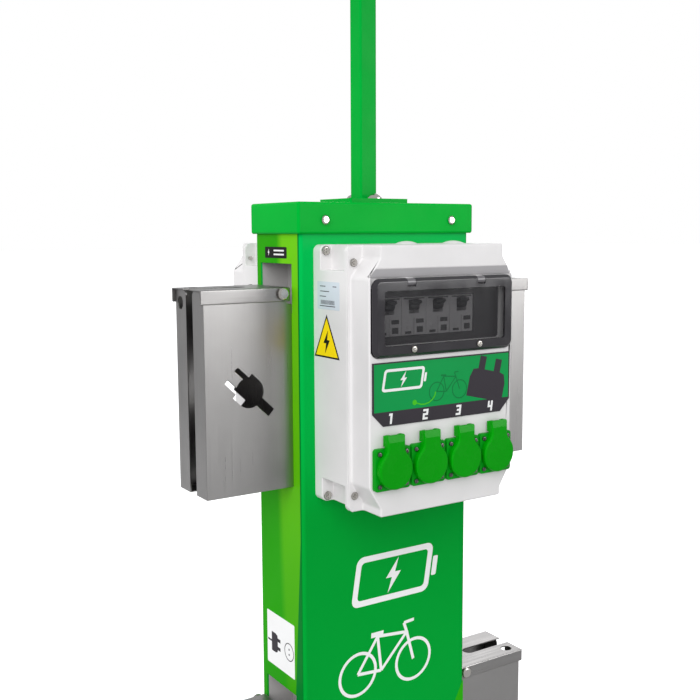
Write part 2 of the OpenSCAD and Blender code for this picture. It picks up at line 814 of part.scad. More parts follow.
// A top-hat rail, seen along X, on two standoffs from the base's back wall.
module din_rails() {
    lip = 1;
    hat_d = 7.5;
    color(steel) on_both() {
        translate([-rail_l/2, 0, win_mid]) rotate([90, 0, 90]) linear_extrude(rail_l) {
            translate([-rail_out, -rail_h/2]) square([lip, 5]);
            translate([-rail_out, rail_h/2 - 5]) square([lip, 5]);
            translate([-rail_out, -rail_h/2 + 4]) square([hat_d, lip]);
            translate([-rail_out, rail_h/2 - 5]) square([hat_d, lip]);
            translate([-rail_out + hat_d - lip, -rail_h/2 + 4]) square([lip, rail_h - 8]);
        }
        for (x = [-rail_post_x, rail_post_x])
            bar_y(12, x, [-rail_out + hat_d, -enc_wall], win_mid);
    }
}

module mask_plates() {
    row_end = row_x + breakers*breaker_w;
    color(dark) on_both() difference() {
        block([-sight_w/2 - 8, sight_w/2 + 8], [-mask_out, -mask_out + mask_t],
              [win_mid - sight_h/2 - 4, win_mid + sight_h/2 + 4]);
        block([row_x - fit, row_end + fit], [-mask_out - eps, -mask_out + mask_t + eps],
              [win_mid - nose_h/2 - fit, win_mid + nose_h/2 + fit]);
    }
}

module breaker_row() {
    color("#d9dadb") for (i = [1 : breakers]) difference() {
        half = breaker_w/2 - 0.1;
        c = breaker_x(i);
        union() {
            block([c - half, c + half], [-breaker_out, -rail_out],
                  [win_mid - breaker_h/2, win_mid + breaker_h/2]);
            block([c - half, c + half], [-nose_out, -breaker_out],
                  [win_mid - nose_h/2, win_mid + nose_h/2]);
            bar_y(button_d, c + button_x, [-nose_out - 0.8, -nose_out], win_mid - button_drop);
        }
        block([c - toggle_w/2 - fit, c + toggle_w/2 + fit], [-nose_out - eps, -toggle_out + 7],
              [toggle_z - 9, toggle_z + 9]);
    }
}

// A toggle turns about X; the hub lies in the breaker's nose.
module toggle(i) {
    c = breaker_x(i);
    color("#3b3d40") translate([c, -toggle_out, toggle_z]) {
        bar_x(2*toggle_r, [-toggle_w/2, toggle_w/2], 0, 0);
        rotate([-toggle_tilt, 0, 0])
            block([-toggle_w/2, toggle_w/2], [-toggle_reach, 0], [-toggle_t/2, toggle_t/2]);
    }
}

// ---- window lid ------------------------------------------------------------------------

// The lid is a shallow tray: a stepped front wall and a rim that lies in the pocket.
module window_lid() {
    back = pocket + 1;
    notch_w = lug_w + 2*fit;
    color(dark) difference() {
        union() {
            difference() {
                face_slab(win_w, win_h, win_r, win_mid, back, win_face);
                face_slab(win_w - 2*win_wall, win_h - 2*win_wall, win_r - win_wall, win_mid,
                          back - eps, win_face - win_wall);
            }
            for (side = [-1, 1], end = [-1, 1])
                translate([side*lug_x + end*(notch_w/2 + 2), 0, 0]) hinge_ear();
        }
        block([-win_w/2 - eps, win_w/2 + eps], [-hinge_out + 2, -back + eps],
              [hinge_z - 6, win_top + eps]);
        for (side = [-1, 1]) {
            block(span(side*lug_x, notch_w/2), [-win_face - eps, -back + eps],
                  [hinge_z - lug_r - 1, win_top + eps]);
            bar_x(win_pin_d + pin_fit, span(side*lug_x, notch_w/2 + 5),
                  -hinge_out, hinge_z);
        }
        for (x = [-win_screw_x, win_screw_x])
            bar_y(win_screw_d, x, [-win_face - eps, -win_face + win_wall + eps], win_screw_z);
    }
}

// A cheek beside a lug, which holds the end of a hinge pin.
module hinge_ear() {
    r = win_face - hinge_out;
    intersection() {
        bar_x(2*r, [-2, 2], -hinge_out, hinge_z);
        block([-2, 2], [-win_face, -pocket], [hinge_z - r, win_top]);
    }
}

// The screws ride on the lid; their shanks end in it, so that it can swing.
module window_screws() {
    color(steel) for (x = [-win_screw_x, win_screw_x])
        translate([x, -win_face, win_screw_z])
            screw_y(win_screw_d, 8, 2.4, win_face - pocket - 0.5);
}

module window_hinge_pins() {
    reach = lug_w/2 + fit + 4;
    color(steel) on_both() for (side = [-1, 1])
        bar_x(win_pin_d, span(side*lug_x, reach), -hinge_out, hinge_z);
}

// ---- sockets and flaps ---------------------------------------------------------------

module socket_screw_places(i) {
    for (x = [-1, 1], z = [-1, 1])
        translate([socket_x(i) + x*socket_screw_pitch/2, 0, sock_z + z*socket_screw_pitch/2])
            children();
}

module socket_row() {
    color(green) for (i = [1 : sockets]) translate([socket_x(i), 0, sock_z]) difference() {
        union() {
            face_slab(socket_w, socket_w, 4, 0, face, flange_out);
            bar_y(rim_d, 0, [-rim_face, -face], 0);
            bar_y(body_d, 0, [-face, -floor_out + 12], 0);
            block([-flap_tab_w/2, flap_tab_w/2], [-flange_out, -face],
                  [socket_w/2 - eps, flap_pin_z]);
            block([-flap_tab_w/2, flap_tab_w/2], [-flap_pin_out - flap_tab_r, -face],
                  [socket_w/2 + 3, flap_pin_z]);
            bar_x(2*flap_tab_r, [-flap_tab_w/2, flap_tab_w/2], -flap_pin_out, flap_pin_z);
        }
        bar_y(well_d, 0, [-rim_face - eps, -floor_out], 0);
        for (x = [-9.5, 9.5]) bar_y(5.4, x, [-floor_out - eps, -floor_out + 10], 0);
        bar_x(flap_pin_d, [-flap_tab_w/2 - eps, flap_tab_w/2 + eps], -flap_pin_out, flap_pin_z);
        for (x = [-1, 1], z = [-1, 1])
            bar_y(socket_screw_d + fit, x*socket_screw_pitch/2, [-flange_out - eps, -face + eps],
                  z*socket_screw_pitch/2);
    }
}

module socket_screws() {
    color(steel) on_both() for (i = [1 : sockets]) socket_screw_places(i)
        translate([0, -flange_out, 0])
            screw_y(socket_screw_d, 5.6, 1.8, socket_t + enc_wall + 6);
}

// A flap: a cupped disc over the socket's rim, with a forked neck round the hinge tab.
module flap(i) {
    skirt_end = flange_out + fit;
    cheek_in = flap_tab_w/2 + fit;
    cheek_low = socket_w/2 + 2;
    color(green) translate([socket_x(i), 0, sock_z]) difference() {
        union() {
            bar_y(flap_d, 0, [-flap_out, -skirt_end], 0);
            block([-neck_w/2, neck_w/2], [-flap_out, -flap_in], [0, neck_top]);
            block([-neck_w/2, neck_w/2], [-flap_out, -skirt_end], [flap_d/2 - 6, cheek_low + eps]);
            for (side = [[-neck_w/2, -cheek_in], [cheek_in, neck_w/2]])
                block(side, [-flap_out, -flap_pin_out + 4], [cheek_low, neck_top]);
        }
        bar_y(rim_d + 4*fit, 0, [-flap_in, -face], 0);
        block([-cheek_in, cheek_in], [-flap_in, -face], [cheek_low - 3, neck_top + eps]);
        bar_x(flap_pin_d + pin_fit, [-neck_w/2 - eps, neck_w/2 + eps], -flap_pin_out, flap_pin_z);
    }
}

module flap_pins() {
    color(steel) on_both() for (i = [1 : sockets])
        bar_x(flap_pin_d, span(socket_x(i), neck_w/2 - 0.5),
              -flap_pin_out, sock_z + flap_pin_z);
}

// ---- nodes ----------------------------------------------------------------------------

base_plate();
base_grommet();
column_shell();
cap();
cap_screws();
mast_flange();
mast_tube();
mast_bolts();
mast_end_cap();
junction_box();
branch_cables();
recess_pans();
on_left(levels[0]) locker_body();  // locker_upper_left
on_right(levels[0]) locker_body();  // locker_upper_right
on_left(levels[1]) locker_body();  // locker_lower_left
on_right(levels[1]) locker_body();  // locker_lower_right
on_left(levels[0]) locker_lid();  // lid_upper_left
on_right(levels[0]) locker_lid();  // lid_upper_right
on_left(levels[1]) locker_lid();  // lid_lower_left
on_right(levels[1]) locker_lid();  // lid_lower_right
lid_pivot_bolts();
locker_screws();
on_front() enclosure_base();  // enclosure_base_front
on_back() enclosure_base();  // enclosure_base_back
on_front() enclosure_cover();  // enclosure_cover_front
on_back() enclosure_cover();  // enclosure_cover_back
cover_gaskets();
cover_screws();
wall_screws();
blanking_plugs();
din_rails();
mask_plates();
on_front() breaker_row();  // breakers_front
on_back() breaker_row();  // breakers_back
on_front() toggle(1);  // toggle_front_1
on_front() toggle(2);  // toggle_front_2
on_front() toggle(3);  // toggle_front_3
on_front() toggle(4);  // toggle_front_4
on_back() toggle(1);  // toggle_back_1
on_back() toggle(2);  // toggle_back_2
on_back() toggle(3);  // toggle_back_3
on_back() toggle(4);  // toggle_back_4
on_front() window_lid();  // window_lid_front
on_back() window_lid();  // window_lid_back
on_front() window_screws();  // window_screws_front
on_back() window_screws();  // window_screws_back
window_hinge_pins();
on_both() sign_plate();  // sign_plates
on_front() socket_row();  // sockets_front
on_back() socket_row();  // sockets_back
on_front() flap(1);  // flap_front_1
on_front() flap(2);  // flap_front_2
on_front() flap(3);  // flap_front_3
on_front() flap(4);  // flap_front_4
on_back() flap(1);  // flap_back_1
on_back() flap(2);  // flap_back_2
on_back() flap(3);  // flap_back_3
on_back() flap(4);  // flap_back_4
flap_pins();
socket_screws();
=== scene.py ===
# %% [markdown]
# # A charging post for e-bikes
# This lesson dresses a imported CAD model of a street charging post: a green
# sheet-steel column with a mast, two grey socket enclosures and four stainless
# lockers. The CAD frame fixes every size, so we only read places from it, build
# finer pieces over its solids and give each surface a finish.

# %% Load the frame
import json
import math

import bpy
from mathutils import Matrix, Vector


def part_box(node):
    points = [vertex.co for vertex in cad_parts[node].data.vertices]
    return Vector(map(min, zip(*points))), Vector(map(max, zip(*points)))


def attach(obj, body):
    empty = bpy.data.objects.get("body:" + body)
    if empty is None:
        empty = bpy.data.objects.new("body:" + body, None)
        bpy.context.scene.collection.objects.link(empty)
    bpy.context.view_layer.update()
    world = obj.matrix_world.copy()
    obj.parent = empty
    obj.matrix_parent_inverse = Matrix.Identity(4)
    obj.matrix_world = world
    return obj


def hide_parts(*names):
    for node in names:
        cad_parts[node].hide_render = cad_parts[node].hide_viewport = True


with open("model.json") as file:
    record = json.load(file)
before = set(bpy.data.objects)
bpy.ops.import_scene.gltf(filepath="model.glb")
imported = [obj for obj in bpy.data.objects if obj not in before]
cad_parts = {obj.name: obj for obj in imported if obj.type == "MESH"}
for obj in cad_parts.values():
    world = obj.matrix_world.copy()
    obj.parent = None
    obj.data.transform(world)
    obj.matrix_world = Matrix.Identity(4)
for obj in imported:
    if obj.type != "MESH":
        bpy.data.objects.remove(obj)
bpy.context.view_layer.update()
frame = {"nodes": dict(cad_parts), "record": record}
NODES = frame["nodes"]

# %% [markdown]
# ## Camera and studio
# The camera stands a little left of the front, level with the cap and tipped
# slightly down. A long lens keeps the column's sides nearly parallel.

# %% Place the camera
cap_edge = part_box("cap")[0].z
CAMERA_AT = Vector((-0.7253, -1.0744, cap_edge + 0.0024))
YAW, PITCH, ROLL = math.radians(33.2), math.radians(6.86), math.radians(-0.27)
SENSOR = 36                         # millimetres
FOCAL = 982/700                     # focal length as a share of the picture's width
camera_data = bpy.data.cameras.new("camera")
camera = bpy.data.objects.new("camera", camera_data)
bpy.context.scene.collection.objects.link(camera)
camera_data.sensor_width = SENSOR
camera_data.lens = SENSOR*FOCAL
turn = Matrix.Rotation(-YAW, 4, "Z") @ Matrix.Rotation(math.pi/2 - PITCH, 4, "X")
camera.matrix_world = Matrix.Translation(CAMERA_AT) @ turn @ Matrix.Rotation(ROLL, 4, "Z")
bpy.context.scene.camera = camera
bpy.context.scene.view_settings.view_transform = "Standard"
print("camera lens in mm:", round(camera_data.lens, 1))

# %% [markdown]
# A wide white floor runs to the horizon, where it meets a sky of the same white,
# so no edge shows. A wide sun and a soft box behind give the light, and steel
# and paint don't mirror them. Two other boxes give no light and are only
# mirrored. Floor and sky are white to the eye, but greyer to everything else,
# which leaves bare steel something dark to mirror.

# %% Floor, lamps and sky
def principled(name, **sockets):
    """A new material with its Principled shader's sockets set."""
    material = bpy.data.materials.new(name)
    material.use_nodes = True
    shader = material.node_tree.nodes["Principled BSDF"]
    for socket, value in sockets.items():
        shader.inputs[socket.replace("_", " ")].default_value = value
    return material


def deselect():
    """Leaves edit mode and deselects every object."""
    if bpy.context.object and bpy.context.object.mode != "OBJECT":
        bpy.ops.object.mode_set(mode="OBJECT")
    bpy.ops.object.select_all(action="DESELECT")


deselect()
bpy.ops.mesh.primitive_plane_add(size=120, location=(0, 0, 0))
floor = bpy.context.object
floor.name = "studio_floor"
studio_white = principled("studio_white", Base_Color=(0.92, 0.92, 0.92, 1), Roughness=0.95,
                          Specular_IOR_Level=0.1, Emission_Color=(1, 1, 1, 1), Emission_Strength=0.5)
ground = studio_white.node_tree
ground_grey = ground.nodes.new("ShaderNodeBsdfDiffuse")
ground_grey.inputs["Color"].default_value = (0.55, 0.55, 0.55, 1)
ground_eye = ground.nodes.new("ShaderNodeLightPath")
ground_mix = ground.nodes.new("ShaderNodeMixShader")
ground.links.new(ground_eye.outputs["Is Camera Ray"], ground_mix.inputs[0])
ground.links.new(ground_grey.outputs[0], ground_mix.inputs[1])
ground.links.new(ground.nodes["Principled BSDF"].outputs[0], ground_mix.inputs[2])
ground.links.new(ground_mix.outputs[0], ground.nodes["Material Output"].inputs["Surface"])
floor.data.materials.append(studio_white)


def lamp(name, kind, place, aim, power, lights=True, mirrored=True, **settings):
    """A soft lamp that points from place at aim; it can light only, or be mirrored only."""
    data = bpy.data.lights.new(name, kind)
    data.energy = power
    for key, value in settings.items():
        setattr(data, key, value)
    item = bpy.data.objects.new(name, data)
    bpy.context.scene.collection.objects.link(item)
    item.location = place
    item.visible_diffuse, item.visible_glossy = lights, mirrored
    item.rotation_euler = (Vector(aim) - Vector(place)).to_track_quat("-Z", "Y").to_euler()


lamp("sun", "SUN", (-2.9, -2.7, 2.0), (0, 0, 0), 2.35, mirrored=False, angle=math.radians(60))
lamp("front_box", "AREA", (1.9, -2.9, 1.75), (0, 0, 0.95), 62, lights=False, shape="RECTANGLE",
     size=1.6, size_y=1.7)
lamp("rear_box", "AREA", (2.9, 3.1, 2.4), (0.2, 0, 0.5), 17, lights=False, shape="SQUARE", size=2.0)
lamp("back_box", "AREA", (-1.9, 2.9, 1.75), (0, 0, 0.95), 34, mirrored=False, shape="RECTANGLE",
     size=1.6, size_y=1.7)
world = bpy.data.worlds.new("studio_sky")
bpy.context.scene.world = world
world.use_nodes = True
sky = world.node_tree
sky_light = sky.nodes["Background"]
sky_light.inputs["Color"].default_value = (0.97, 0.98, 1.0, 1)
sky_light.inputs["Strength"].default_value = 0.6
sky_seen = sky.nodes.new("ShaderNodeBackground")
sky_seen.inputs["Color"].default_value = (1, 1, 1, 1)
eye = sky.nodes.new("ShaderNodeLightPath")
choice = sky.nodes.new("ShaderNodeMixShader")
sky.links.new(eye.outputs["Is Camera Ray"], choice.inputs[0])
sky.links.new(sky_light.outputs[0], choice.inputs[1])
sky.links.new(sky_seen.outputs[0], choice.inputs[2])
sky.links.new(choice.outputs[0], sky.nodes["World Output"].inputs["Surface"])

# %% [markdown]
# ## Finishes
# Every finish starts from the same few nodes: Object coordinates, so a pattern
# sits still on its piece, a noise that varies the colour or the roughness, and a
# bump for the grain. One helper class keeps the node wiring short to read.

# %% Node helper
class Finish:
    """A Principled material whose nodes are added one call at a time."""

    def __init__(self, name, colour, roughness, **sockets):
        self.material = principled(name, Base_Color=(*colour, 1), Roughness=roughness, **sockets)
        self.tree = self.material.node_tree
        self.shader = self.tree.nodes["Principled BSDF"]
        self.coords = self.tree.nodes.new("ShaderNodeTexCoord").outputs["Object"]

    def add(self, kind, inputs=(), **settings):
        """Adds a node; a value that is a socket is linked, any other is set."""
        item = self.tree.nodes.new("ShaderNode" + kind)
        for key, value in settings.items():
            setattr(item, key, value)
        for key, value in dict(inputs).items():
            if isinstance(value, bpy.types.NodeSocket):
                self.tree.links.new(value, item.inputs[key])
            else:
                item.inputs[key].default_value = value
        return item

    def stretched(self, scale):
        """Object coordinates, scaled along each axis."""
        return self.add("Mapping", {"Vector": self.coords, "Scale": scale}).outputs["Vector"]

    def noise(self, scale, detail=3, vector=None):
        vector = vector or self.coords
        return self.add("TexNoise", {"Vector": vector, "Scale": scale, "Detail": detail}).outputs["Fac"]

    def ramp(self, value, low, high, to_low=0.0, to_high=1.0):
        """value from low..high is mapped onto to_low..to_high, and held at the ends."""
        return self.add("MapRange", {"Value": value, "From Min": low, "From Max": high,
                                     "To Min": to_low, "To Max": to_high}).outputs["Result"]

    def maths(self, operation, a, b=0.0):
        return self.add("Math", {0: a, 1: b}, operation=operation).outputs[0]

    def mix(self, amount, a, b):
        """Colour a where amount is 0 and b where it is 1."""
        item = self.add("Mix", {0: amount, 6: a, 7: b}, data_type="RGBA")
        return item.outputs[2]

    def axis(self, name):
        return self.add("SeparateXYZ", {0: self.coords}).outputs[name]

    def to(self, socket, value):
        self.tree.links.new(value, self.shader.inputs[socket])
        return self

    def bump(self, height, distance, strength=1.0):
        item = self.add("Bump", {"Height": height, "Distance": distance, "Strength": strength})
        return self.to("Normal", item.outputs["Normal"])


def rgba(r, g, b):
    """An sRGB colour, 0 to 255, as the linear colour that a shader wants."""
    def linear(v):
        v /= 255
        return v/12.92 if v <= 0.04045 else ((v + 0.055)/1.055)**2.4
    return (linear(r), linear(g), linear(b), 1.0)


# %% [markdown]
# Powder coat on steel has a fine orange peel: a soft noise of about a
# millimetre, far weaker than a scratch. A second, broad noise moves the
# roughness a little, as handled and wiped paint does.

# %% Powder coats
def powder_coat(name, colour, roughness=0.32):
    coat = Finish(name, colour[:3], roughness, Specular_IOR_Level=0.03)
    tone = coat.noise(6, 4)
    darker = tuple(0.86*c for c in colour[:3]) + (1.0,)
    coat.to("Base Color", coat.mix(coat.ramp(tone, 0.3, 0.7), colour, darker))
    coat.to("Roughness", coat.ramp(coat.noise(28, 5), 0.3, 0.7, roughness - 0.06, roughness + 0.08))
    return coat.bump(coat.noise(900, 2), 0.0002, 0.12)


CAP_GREEN = rgba(0, 176, 54)
MAST_GREEN = rgba(0, 170, 56)
cap_paint = powder_coat("cap_paint", CAP_GREEN).material
mast_paint = powder_coat("mast_paint", MAST_GREEN).material
print("powder coats:", cap_paint.name, mast_paint.name)

# %% [markdown]
# The column carries a printed film as well as paint. Its two narrow sides are
# lime, deeper in colour behind a curved line, with a dark green strip along the
# leading edge that widens low down. The wide faces stay green and grow lighter
# towards the top, a painted reflection of the high soft box at the front. The
# pattern reads the place on the column, so no separate sheet is needed. The half
# turn that makes the back from the front also turns the pattern: depth is
# counted towards each side's own leading edge.

# %% Column film
column_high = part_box("column_shell")[1]
SIDE, FRONT = column_high.x, column_high.y


def column_film():
    film = powder_coat("column_film", rgba(0, 160, 56), 0.34)
    x, y, z = (film.axis(a) for a in "XYZ")
    on_side = film.maths("GREATER_THAN", film.maths("ABSOLUTE", x), SIDE - 0.0004)
    lead = film.maths("MULTIPLY", y, film.maths("SIGN", x))     # +FRONT at the leading edge
    # The wide faces grow lighter towards the top: a painted reflection of the high front soft box.
    painted_sheen_rise = film.ramp(z, 0.75, 1.1)
    green = film.mix(painted_sheen_rise, rgba(0, 158, 52), rgba(0, 190, 84))
    lime = film.mix(film.ramp(z, 0.5, 1.0), rgba(54, 158, 0), rgba(112, 202, 16))
    deep = film.mix(film.ramp(z, 0.3, 0.8), rgba(28, 148, 0), rgba(44, 160, 0))
    wave = film.maths("SINE", film.maths("MULTIPLY", z, 7))
    sweep_edge = film.maths("ADD", film.ramp(z, 0.35, 0.78, 0.018, -0.003),
                            film.maths("MULTIPLY", wave, 0.004))
    side_tone = film.mix(film.ramp(film.maths("SUBTRACT", lead, sweep_edge), -0.002, 0.012), deep, lime)
    strip = film.ramp(z, 0.35, 0.72, 0.0225, 0.0505)
    side_tone = film.mix(film.ramp(film.maths("SUBTRACT", lead, strip), -0.0006, 0.0006), side_tone,
                         rgba(0, 118, 40))
    cloud = film.ramp(film.noise(3.2, 4), 0.3, 0.72, 0.0, 0.22)
    tone = film.mix(on_side, green, side_tone)
    film.to("Base Color", film.mix(cloud, tone, rgba(0, 120, 34)))
    return film.material


column_paint = column_film()
print("film sides at", round(SIDE, 4), "m")

# %% [markdown]
# Stainless sheet is brushed: the grain is a noise drawn out a hundred times
# along one axis, which moves the roughness and a very shallow bump. Lockers are
# brushed up and down, lids along their length. Pressed and handled sheet also
# has broad, faint clouds.

# %% Stainless sheet and bright steel
def brushed(name, colour, roughness, stretch, depth=0.00004):
    sheet = Finish(name, colour[:3], roughness, Metallic=1.0)
    grain = sheet.noise(1, 6, sheet.stretched(stretch))
    cloud = sheet.noise(9, 4)
    dull = tuple(0.82*c for c in colour[:3]) + (1.0,)
    sheet.to("Base Color", sheet.mix(sheet.ramp(cloud, 0.3, 0.75), colour, dull))
    shade = sheet.maths("ADD", sheet.ramp(grain, 0.3, 0.7, roughness - 0.07, roughness + 0.09),
                        sheet.ramp(cloud, 0.3, 0.7, -0.03, 0.05))
    sheet.to("Roughness", shade)
    sheet.bump(grain, depth, 0.5)
    return sheet.material


locker_sheet = brushed("locker_sheet", rgba(172, 170, 169), 0.34, (900, 900, 9))
lid_sheet = brushed("lid_sheet", rgba(164, 162, 161), 0.32, (9, 900, 900))
bright_steel = brushed("bright_steel", rgba(206, 202, 196), 0.18, (300, 300, 300), 0.00001)
recess_sheet = brushed("recess_sheet", rgba(186, 184, 183), 0.6, (9, 900, 9))
recess_sheet.node_tree.nodes["Principled BSDF"].inputs["Metallic"].default_value = 0.0
dark_steel = brushed("dark_steel", rgba(120, 118, 116), 0.3, (300, 300, 300), 0.00001)
rail_zinc = brushed("rail_zinc", rgba(196, 190, 166), 0.4, (12, 700, 700))
print("sheet finishes:", locker_sheet.name, lid_sheet.name, bright_steel.name, rail_zinc.name,
      recess_sheet.name, dark_steel.name)

# %% [markdown]
# The plastics are moulded. A light-grey enclosure has a fine spark-eroded
# texture of about half a millimetre and a soft, slightly see-into surface. The
# sockets and flaps are a harder, smoother green. The smoked window lets the
# breakers show: its own colour is nearly black, and its alpha lets part of the
# light through.

# %% Moulded plastics
def moulded(name, colour, roughness, texture=1400, depth=0.00006, **sockets):
    plastic = Finish(name, colour[:3], roughness, **sockets)
    tone = plastic.noise(14, 3)
    shade = tuple(0.93*c for c in colour[:3]) + (1.0,)
    plastic.to("Base Color", plastic.mix(plastic.ramp(tone, 0.3, 0.7), colour, shade))
    wear = plastic.noise(60, 4)
    plastic.to("Roughness", plastic.ramp(wear, 0.3, 0.7, roughness - 0.04, roughness + 0.06))
    plastic.bump(plastic.noise(texture, 2), depth, 0.35)
    return plastic.material


grey_plastic = moulded("grey_plastic", rgba(226, 224, 224), 0.42)
socket_plastic = moulded("socket_plastic", rgba(0, 150, 22), 0.36, Specular_IOR_Level=0.1)
flap_plastic = moulded("flap_plastic", rgba(0, 152, 6), 0.26, Specular_IOR_Level=0.1)
breaker_plastic = moulded("breaker_plastic", rgba(190, 188, 190), 0.5)
toggle_plastic = moulded("toggle_plastic", rgba(44, 45, 48), 0.4)
black_plastic = moulded("black_plastic", rgba(74, 72, 75), 0.5)
rubber = moulded("rubber", rgba(30, 30, 30), 0.75, 700, 0.0001)
smoked_window = moulded("smoked_window", rgba(34, 33, 36), 0.08, 120, 0.00001, Alpha=0.36)
window_rim = moulded("window_rim", rgba(44, 42, 46), 0.12, 120, 0.00001)
hinge_grey = moulded("hinge_grey", rgba(104, 102, 105), 0.25, 120, 0.00001)
clear_grey = moulded("clear_grey", rgba(184, 182, 184), 0.2, 120, 0.00001)
print("plastics:", grey_plastic.name, socket_plastic.name, smoked_window.name)

# %% [markdown]
# Each CAD solid takes the finish of its material slot. What is modelled again
# below hides its solid, and the rest, such as the rails and the junction box,
# keeps the CAD shape with the finish from this table.

# %% Finishes onto the CAD solids
SLOT_FINISH = {
    "column_paint": column_paint, "cap_paint": cap_paint, "mast_paint": mast_paint,
    "rubber": rubber, "fastener_steel": bright_steel, "rail_steel": rail_zinc,
    "stainless_sheet": locker_sheet, "grey_plastic": grey_plastic,
    "socket_plastic": socket_plastic, "flap_plastic": flap_plastic,
    "smoked_window": smoked_window, "sign_face": black_plastic,
    "breaker_plastic": breaker_plastic, "toggle_plastic": toggle_plastic,
    "black_plastic": black_plastic}


def dress(piece, material):
    """The piece has this one material all over."""
    piece.data.materials.clear()
    piece.data.materials.append(material)
    for face in piece.data.polygons:
        face.material_index = 0


SUBPARTS = {part["node"]: part for part in frame["record"]["subparts"]}
node_slot = {name: part["material_slot"] for name, part in SUBPARTS.items()}
for name, node in NODES.items():
    dress(node, SLOT_FINISH[node_slot[name]])
dress(NODES["recess_pans"], recess_sheet)
print("dressed", len(NODES), "CAD solids")

# %% [markdown]
# ## Modelling helpers
# The sheet-metal and moulded pieces keep the CAD solid's walls, holes and bores,
# and lose its razor edges: a copy of the solid is merged into one skin, its flat
# triangles are dissolved, and the edges that a hand would touch are bevelled.
# Only places decide which edges those are. The half turn about Z makes each
# back piece from its front twin.

# %% Selecting, bevelling and finishing a piece
def activate(piece):
    deselect()
    piece.select_set(True)
    bpy.context.view_layer.objects.active = piece


def settle(piece):
    """Puts the piece's place into its mesh and applies its modifiers."""
    activate(piece)
    for modifier in list(piece.modifiers):
        bpy.ops.object.modifier_apply(modifier=modifier.name)
    bpy.ops.object.transform_apply(location=True, rotation=True, scale=True)


def skin_of(node, name):
    """A new piece with the CAD solid's skin, merged and with flat faces joined."""
    piece = bpy.data.objects.new(name, NODES[node].data.copy())
    piece.data.materials.clear()
    bpy.context.scene.collection.objects.link(piece)
    activate(piece)
    bpy.ops.object.mode_set(mode="EDIT")
    bpy.ops.mesh.select_all(action="SELECT")
    bpy.ops.mesh.remove_doubles(threshold=0.000005)
    bpy.ops.mesh.dissolve_limited(angle_limit=math.radians(0.6))
    bpy.ops.object.mode_set(mode="OBJECT")
    return piece


def select_edges(piece, test, sharp=25):
    """Selects the sharp edges whose middle passes the test, and enters edit mode."""
    activate(piece)
    bpy.ops.object.mode_set(mode="EDIT")
    bpy.context.tool_settings.mesh_select_mode = (False, True, False)
    bpy.ops.mesh.select_all(action="DESELECT")
    bpy.ops.mesh.edges_select_sharp(sharpness=math.radians(sharp))
    bpy.ops.object.mode_set(mode="OBJECT")
    points = piece.data.vertices
    for edge in piece.data.edges:
        a, b = (points[v].co for v in edge.vertices)
        edge.select = edge.select and bool(test((a + b)/2, (b - a)))
    bpy.ops.object.mode_set(mode="EDIT")


def bevel_edges(piece, width, segments, test, sharp=25):
    select_edges(piece, test, sharp)
    bpy.ops.mesh.bevel(offset=width, offset_type="OFFSET", segments=segments, profile=0.5,
                       affect="EDGES", clamp_overlap=False, miter_outer="ARC")
    bpy.ops.object.mode_set(mode="OBJECT")


def smooth(piece, angle=32):
    """Smooth shading below the angle, weighted so that large faces stay flat."""
    activate(piece)
    bpy.ops.object.shade_smooth_by_angle(angle=math.radians(angle))
    weight = piece.modifiers.new("weight", "WEIGHTED_NORMAL")
    weight.keep_sharp = True
    settle(piece)


def install(piece, material, slot, body="post", stands_for=()):
    """Dresses a finished piece and fastens it to its CAD body."""
    piece.data.name = piece.name
    if not piece.data.materials:
        dress(piece, material)
    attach(piece, body)
    if stands_for:
        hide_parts(*stands_for)
    return piece


SIDE_TURN = {"front": Matrix.Identity(4), "back": Matrix.Rotation(math.pi, 4, "Z")}


def twin(piece, name, place=SIDE_TURN["back"]):
    """A copy with its own mesh, turned or moved by the matrix; half a turn about Z if none."""
    other = bpy.data.objects.new(name, piece.data.copy())
    bpy.context.scene.collection.objects.link(other)
    other.data.transform(place)
    return other


def install_both(piece, name, material, slot, body="post", node=""):
    """Installs a front piece and its half-turned twin as name_front and name_back."""
    piece.name = name + "_front"
    pair = (("front", piece), ("back", twin(piece, name + "_back")))
    for side, one in pair:
        rides = body if body == "post" else f"{body}_{side}"
        install(one, material, slot, rides, [f"{node}_{side}"] if node else ())


def joined(pieces, name):
    """Several pieces as one mesh."""
    deselect()
    for piece in pieces:
        piece.select_set(True)
    bpy.context.view_layer.objects.active = pieces[0]
    if len(pieces) > 1:
        bpy.ops.object.join()
    pieces[0].name = name
    return pieces[0]


print("helpers ready; solids to dress:", len(NODES))

# %% [markdown]
# ## Cap and mast
# The cap is one folded sheet. It starts as a block, its four corners are bevelled
# to the small radius of a folded and welded corner and its upper rim to the bend
# radius. Then its underside is opened, and a Solidify modifier gives the sheet
# its two millimetres, inwards, so that the outside keeps its size.

# %% Cap
cap_low, cap_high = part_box("cap")
deselect()
bpy.ops.mesh.primitive_cube_add(size=1, location=(cap_low + cap_high)/2, scale=cap_high - cap_low)
cap = bpy.context.object
cap.name = "folded_cap"
settle(cap)
bevel_edges(cap, 0.0032, 4, lambda at, along: abs(along.z) > 0.01)
bevel_edges(cap, 0.0034, 5, lambda at, along: at.z > cap_high.z - 0.0001)
bpy.ops.object.mode_set(mode="EDIT")
bpy.context.tool_settings.mesh_select_mode = (False, False, True)
bpy.ops.mesh.select_all(action="DESELECT")
bpy.ops.object.mode_set(mode="OBJECT")
for face in cap.data.polygons:
    face.select = face.normal.z < -0.9
bpy.ops.object.mode_set(mode="EDIT")
bpy.ops.mesh.delete(type="FACE")
bpy.ops.object.mode_set(mode="OBJECT")
sheet = cap.modifiers.new("sheet", "SOLIDIFY")
sheet.thickness, sheet.offset = 0.002, -1
settle(cap)
bevel_edges(cap, 0.0004, 2, lambda at, along: at.z < cap_low.z + 0.0001, sharp=60)
smooth(cap)
install(cap, cap_paint, "cap_paint", stands_for=["cap"])
print("cap faces:", len(cap.data.polygons))

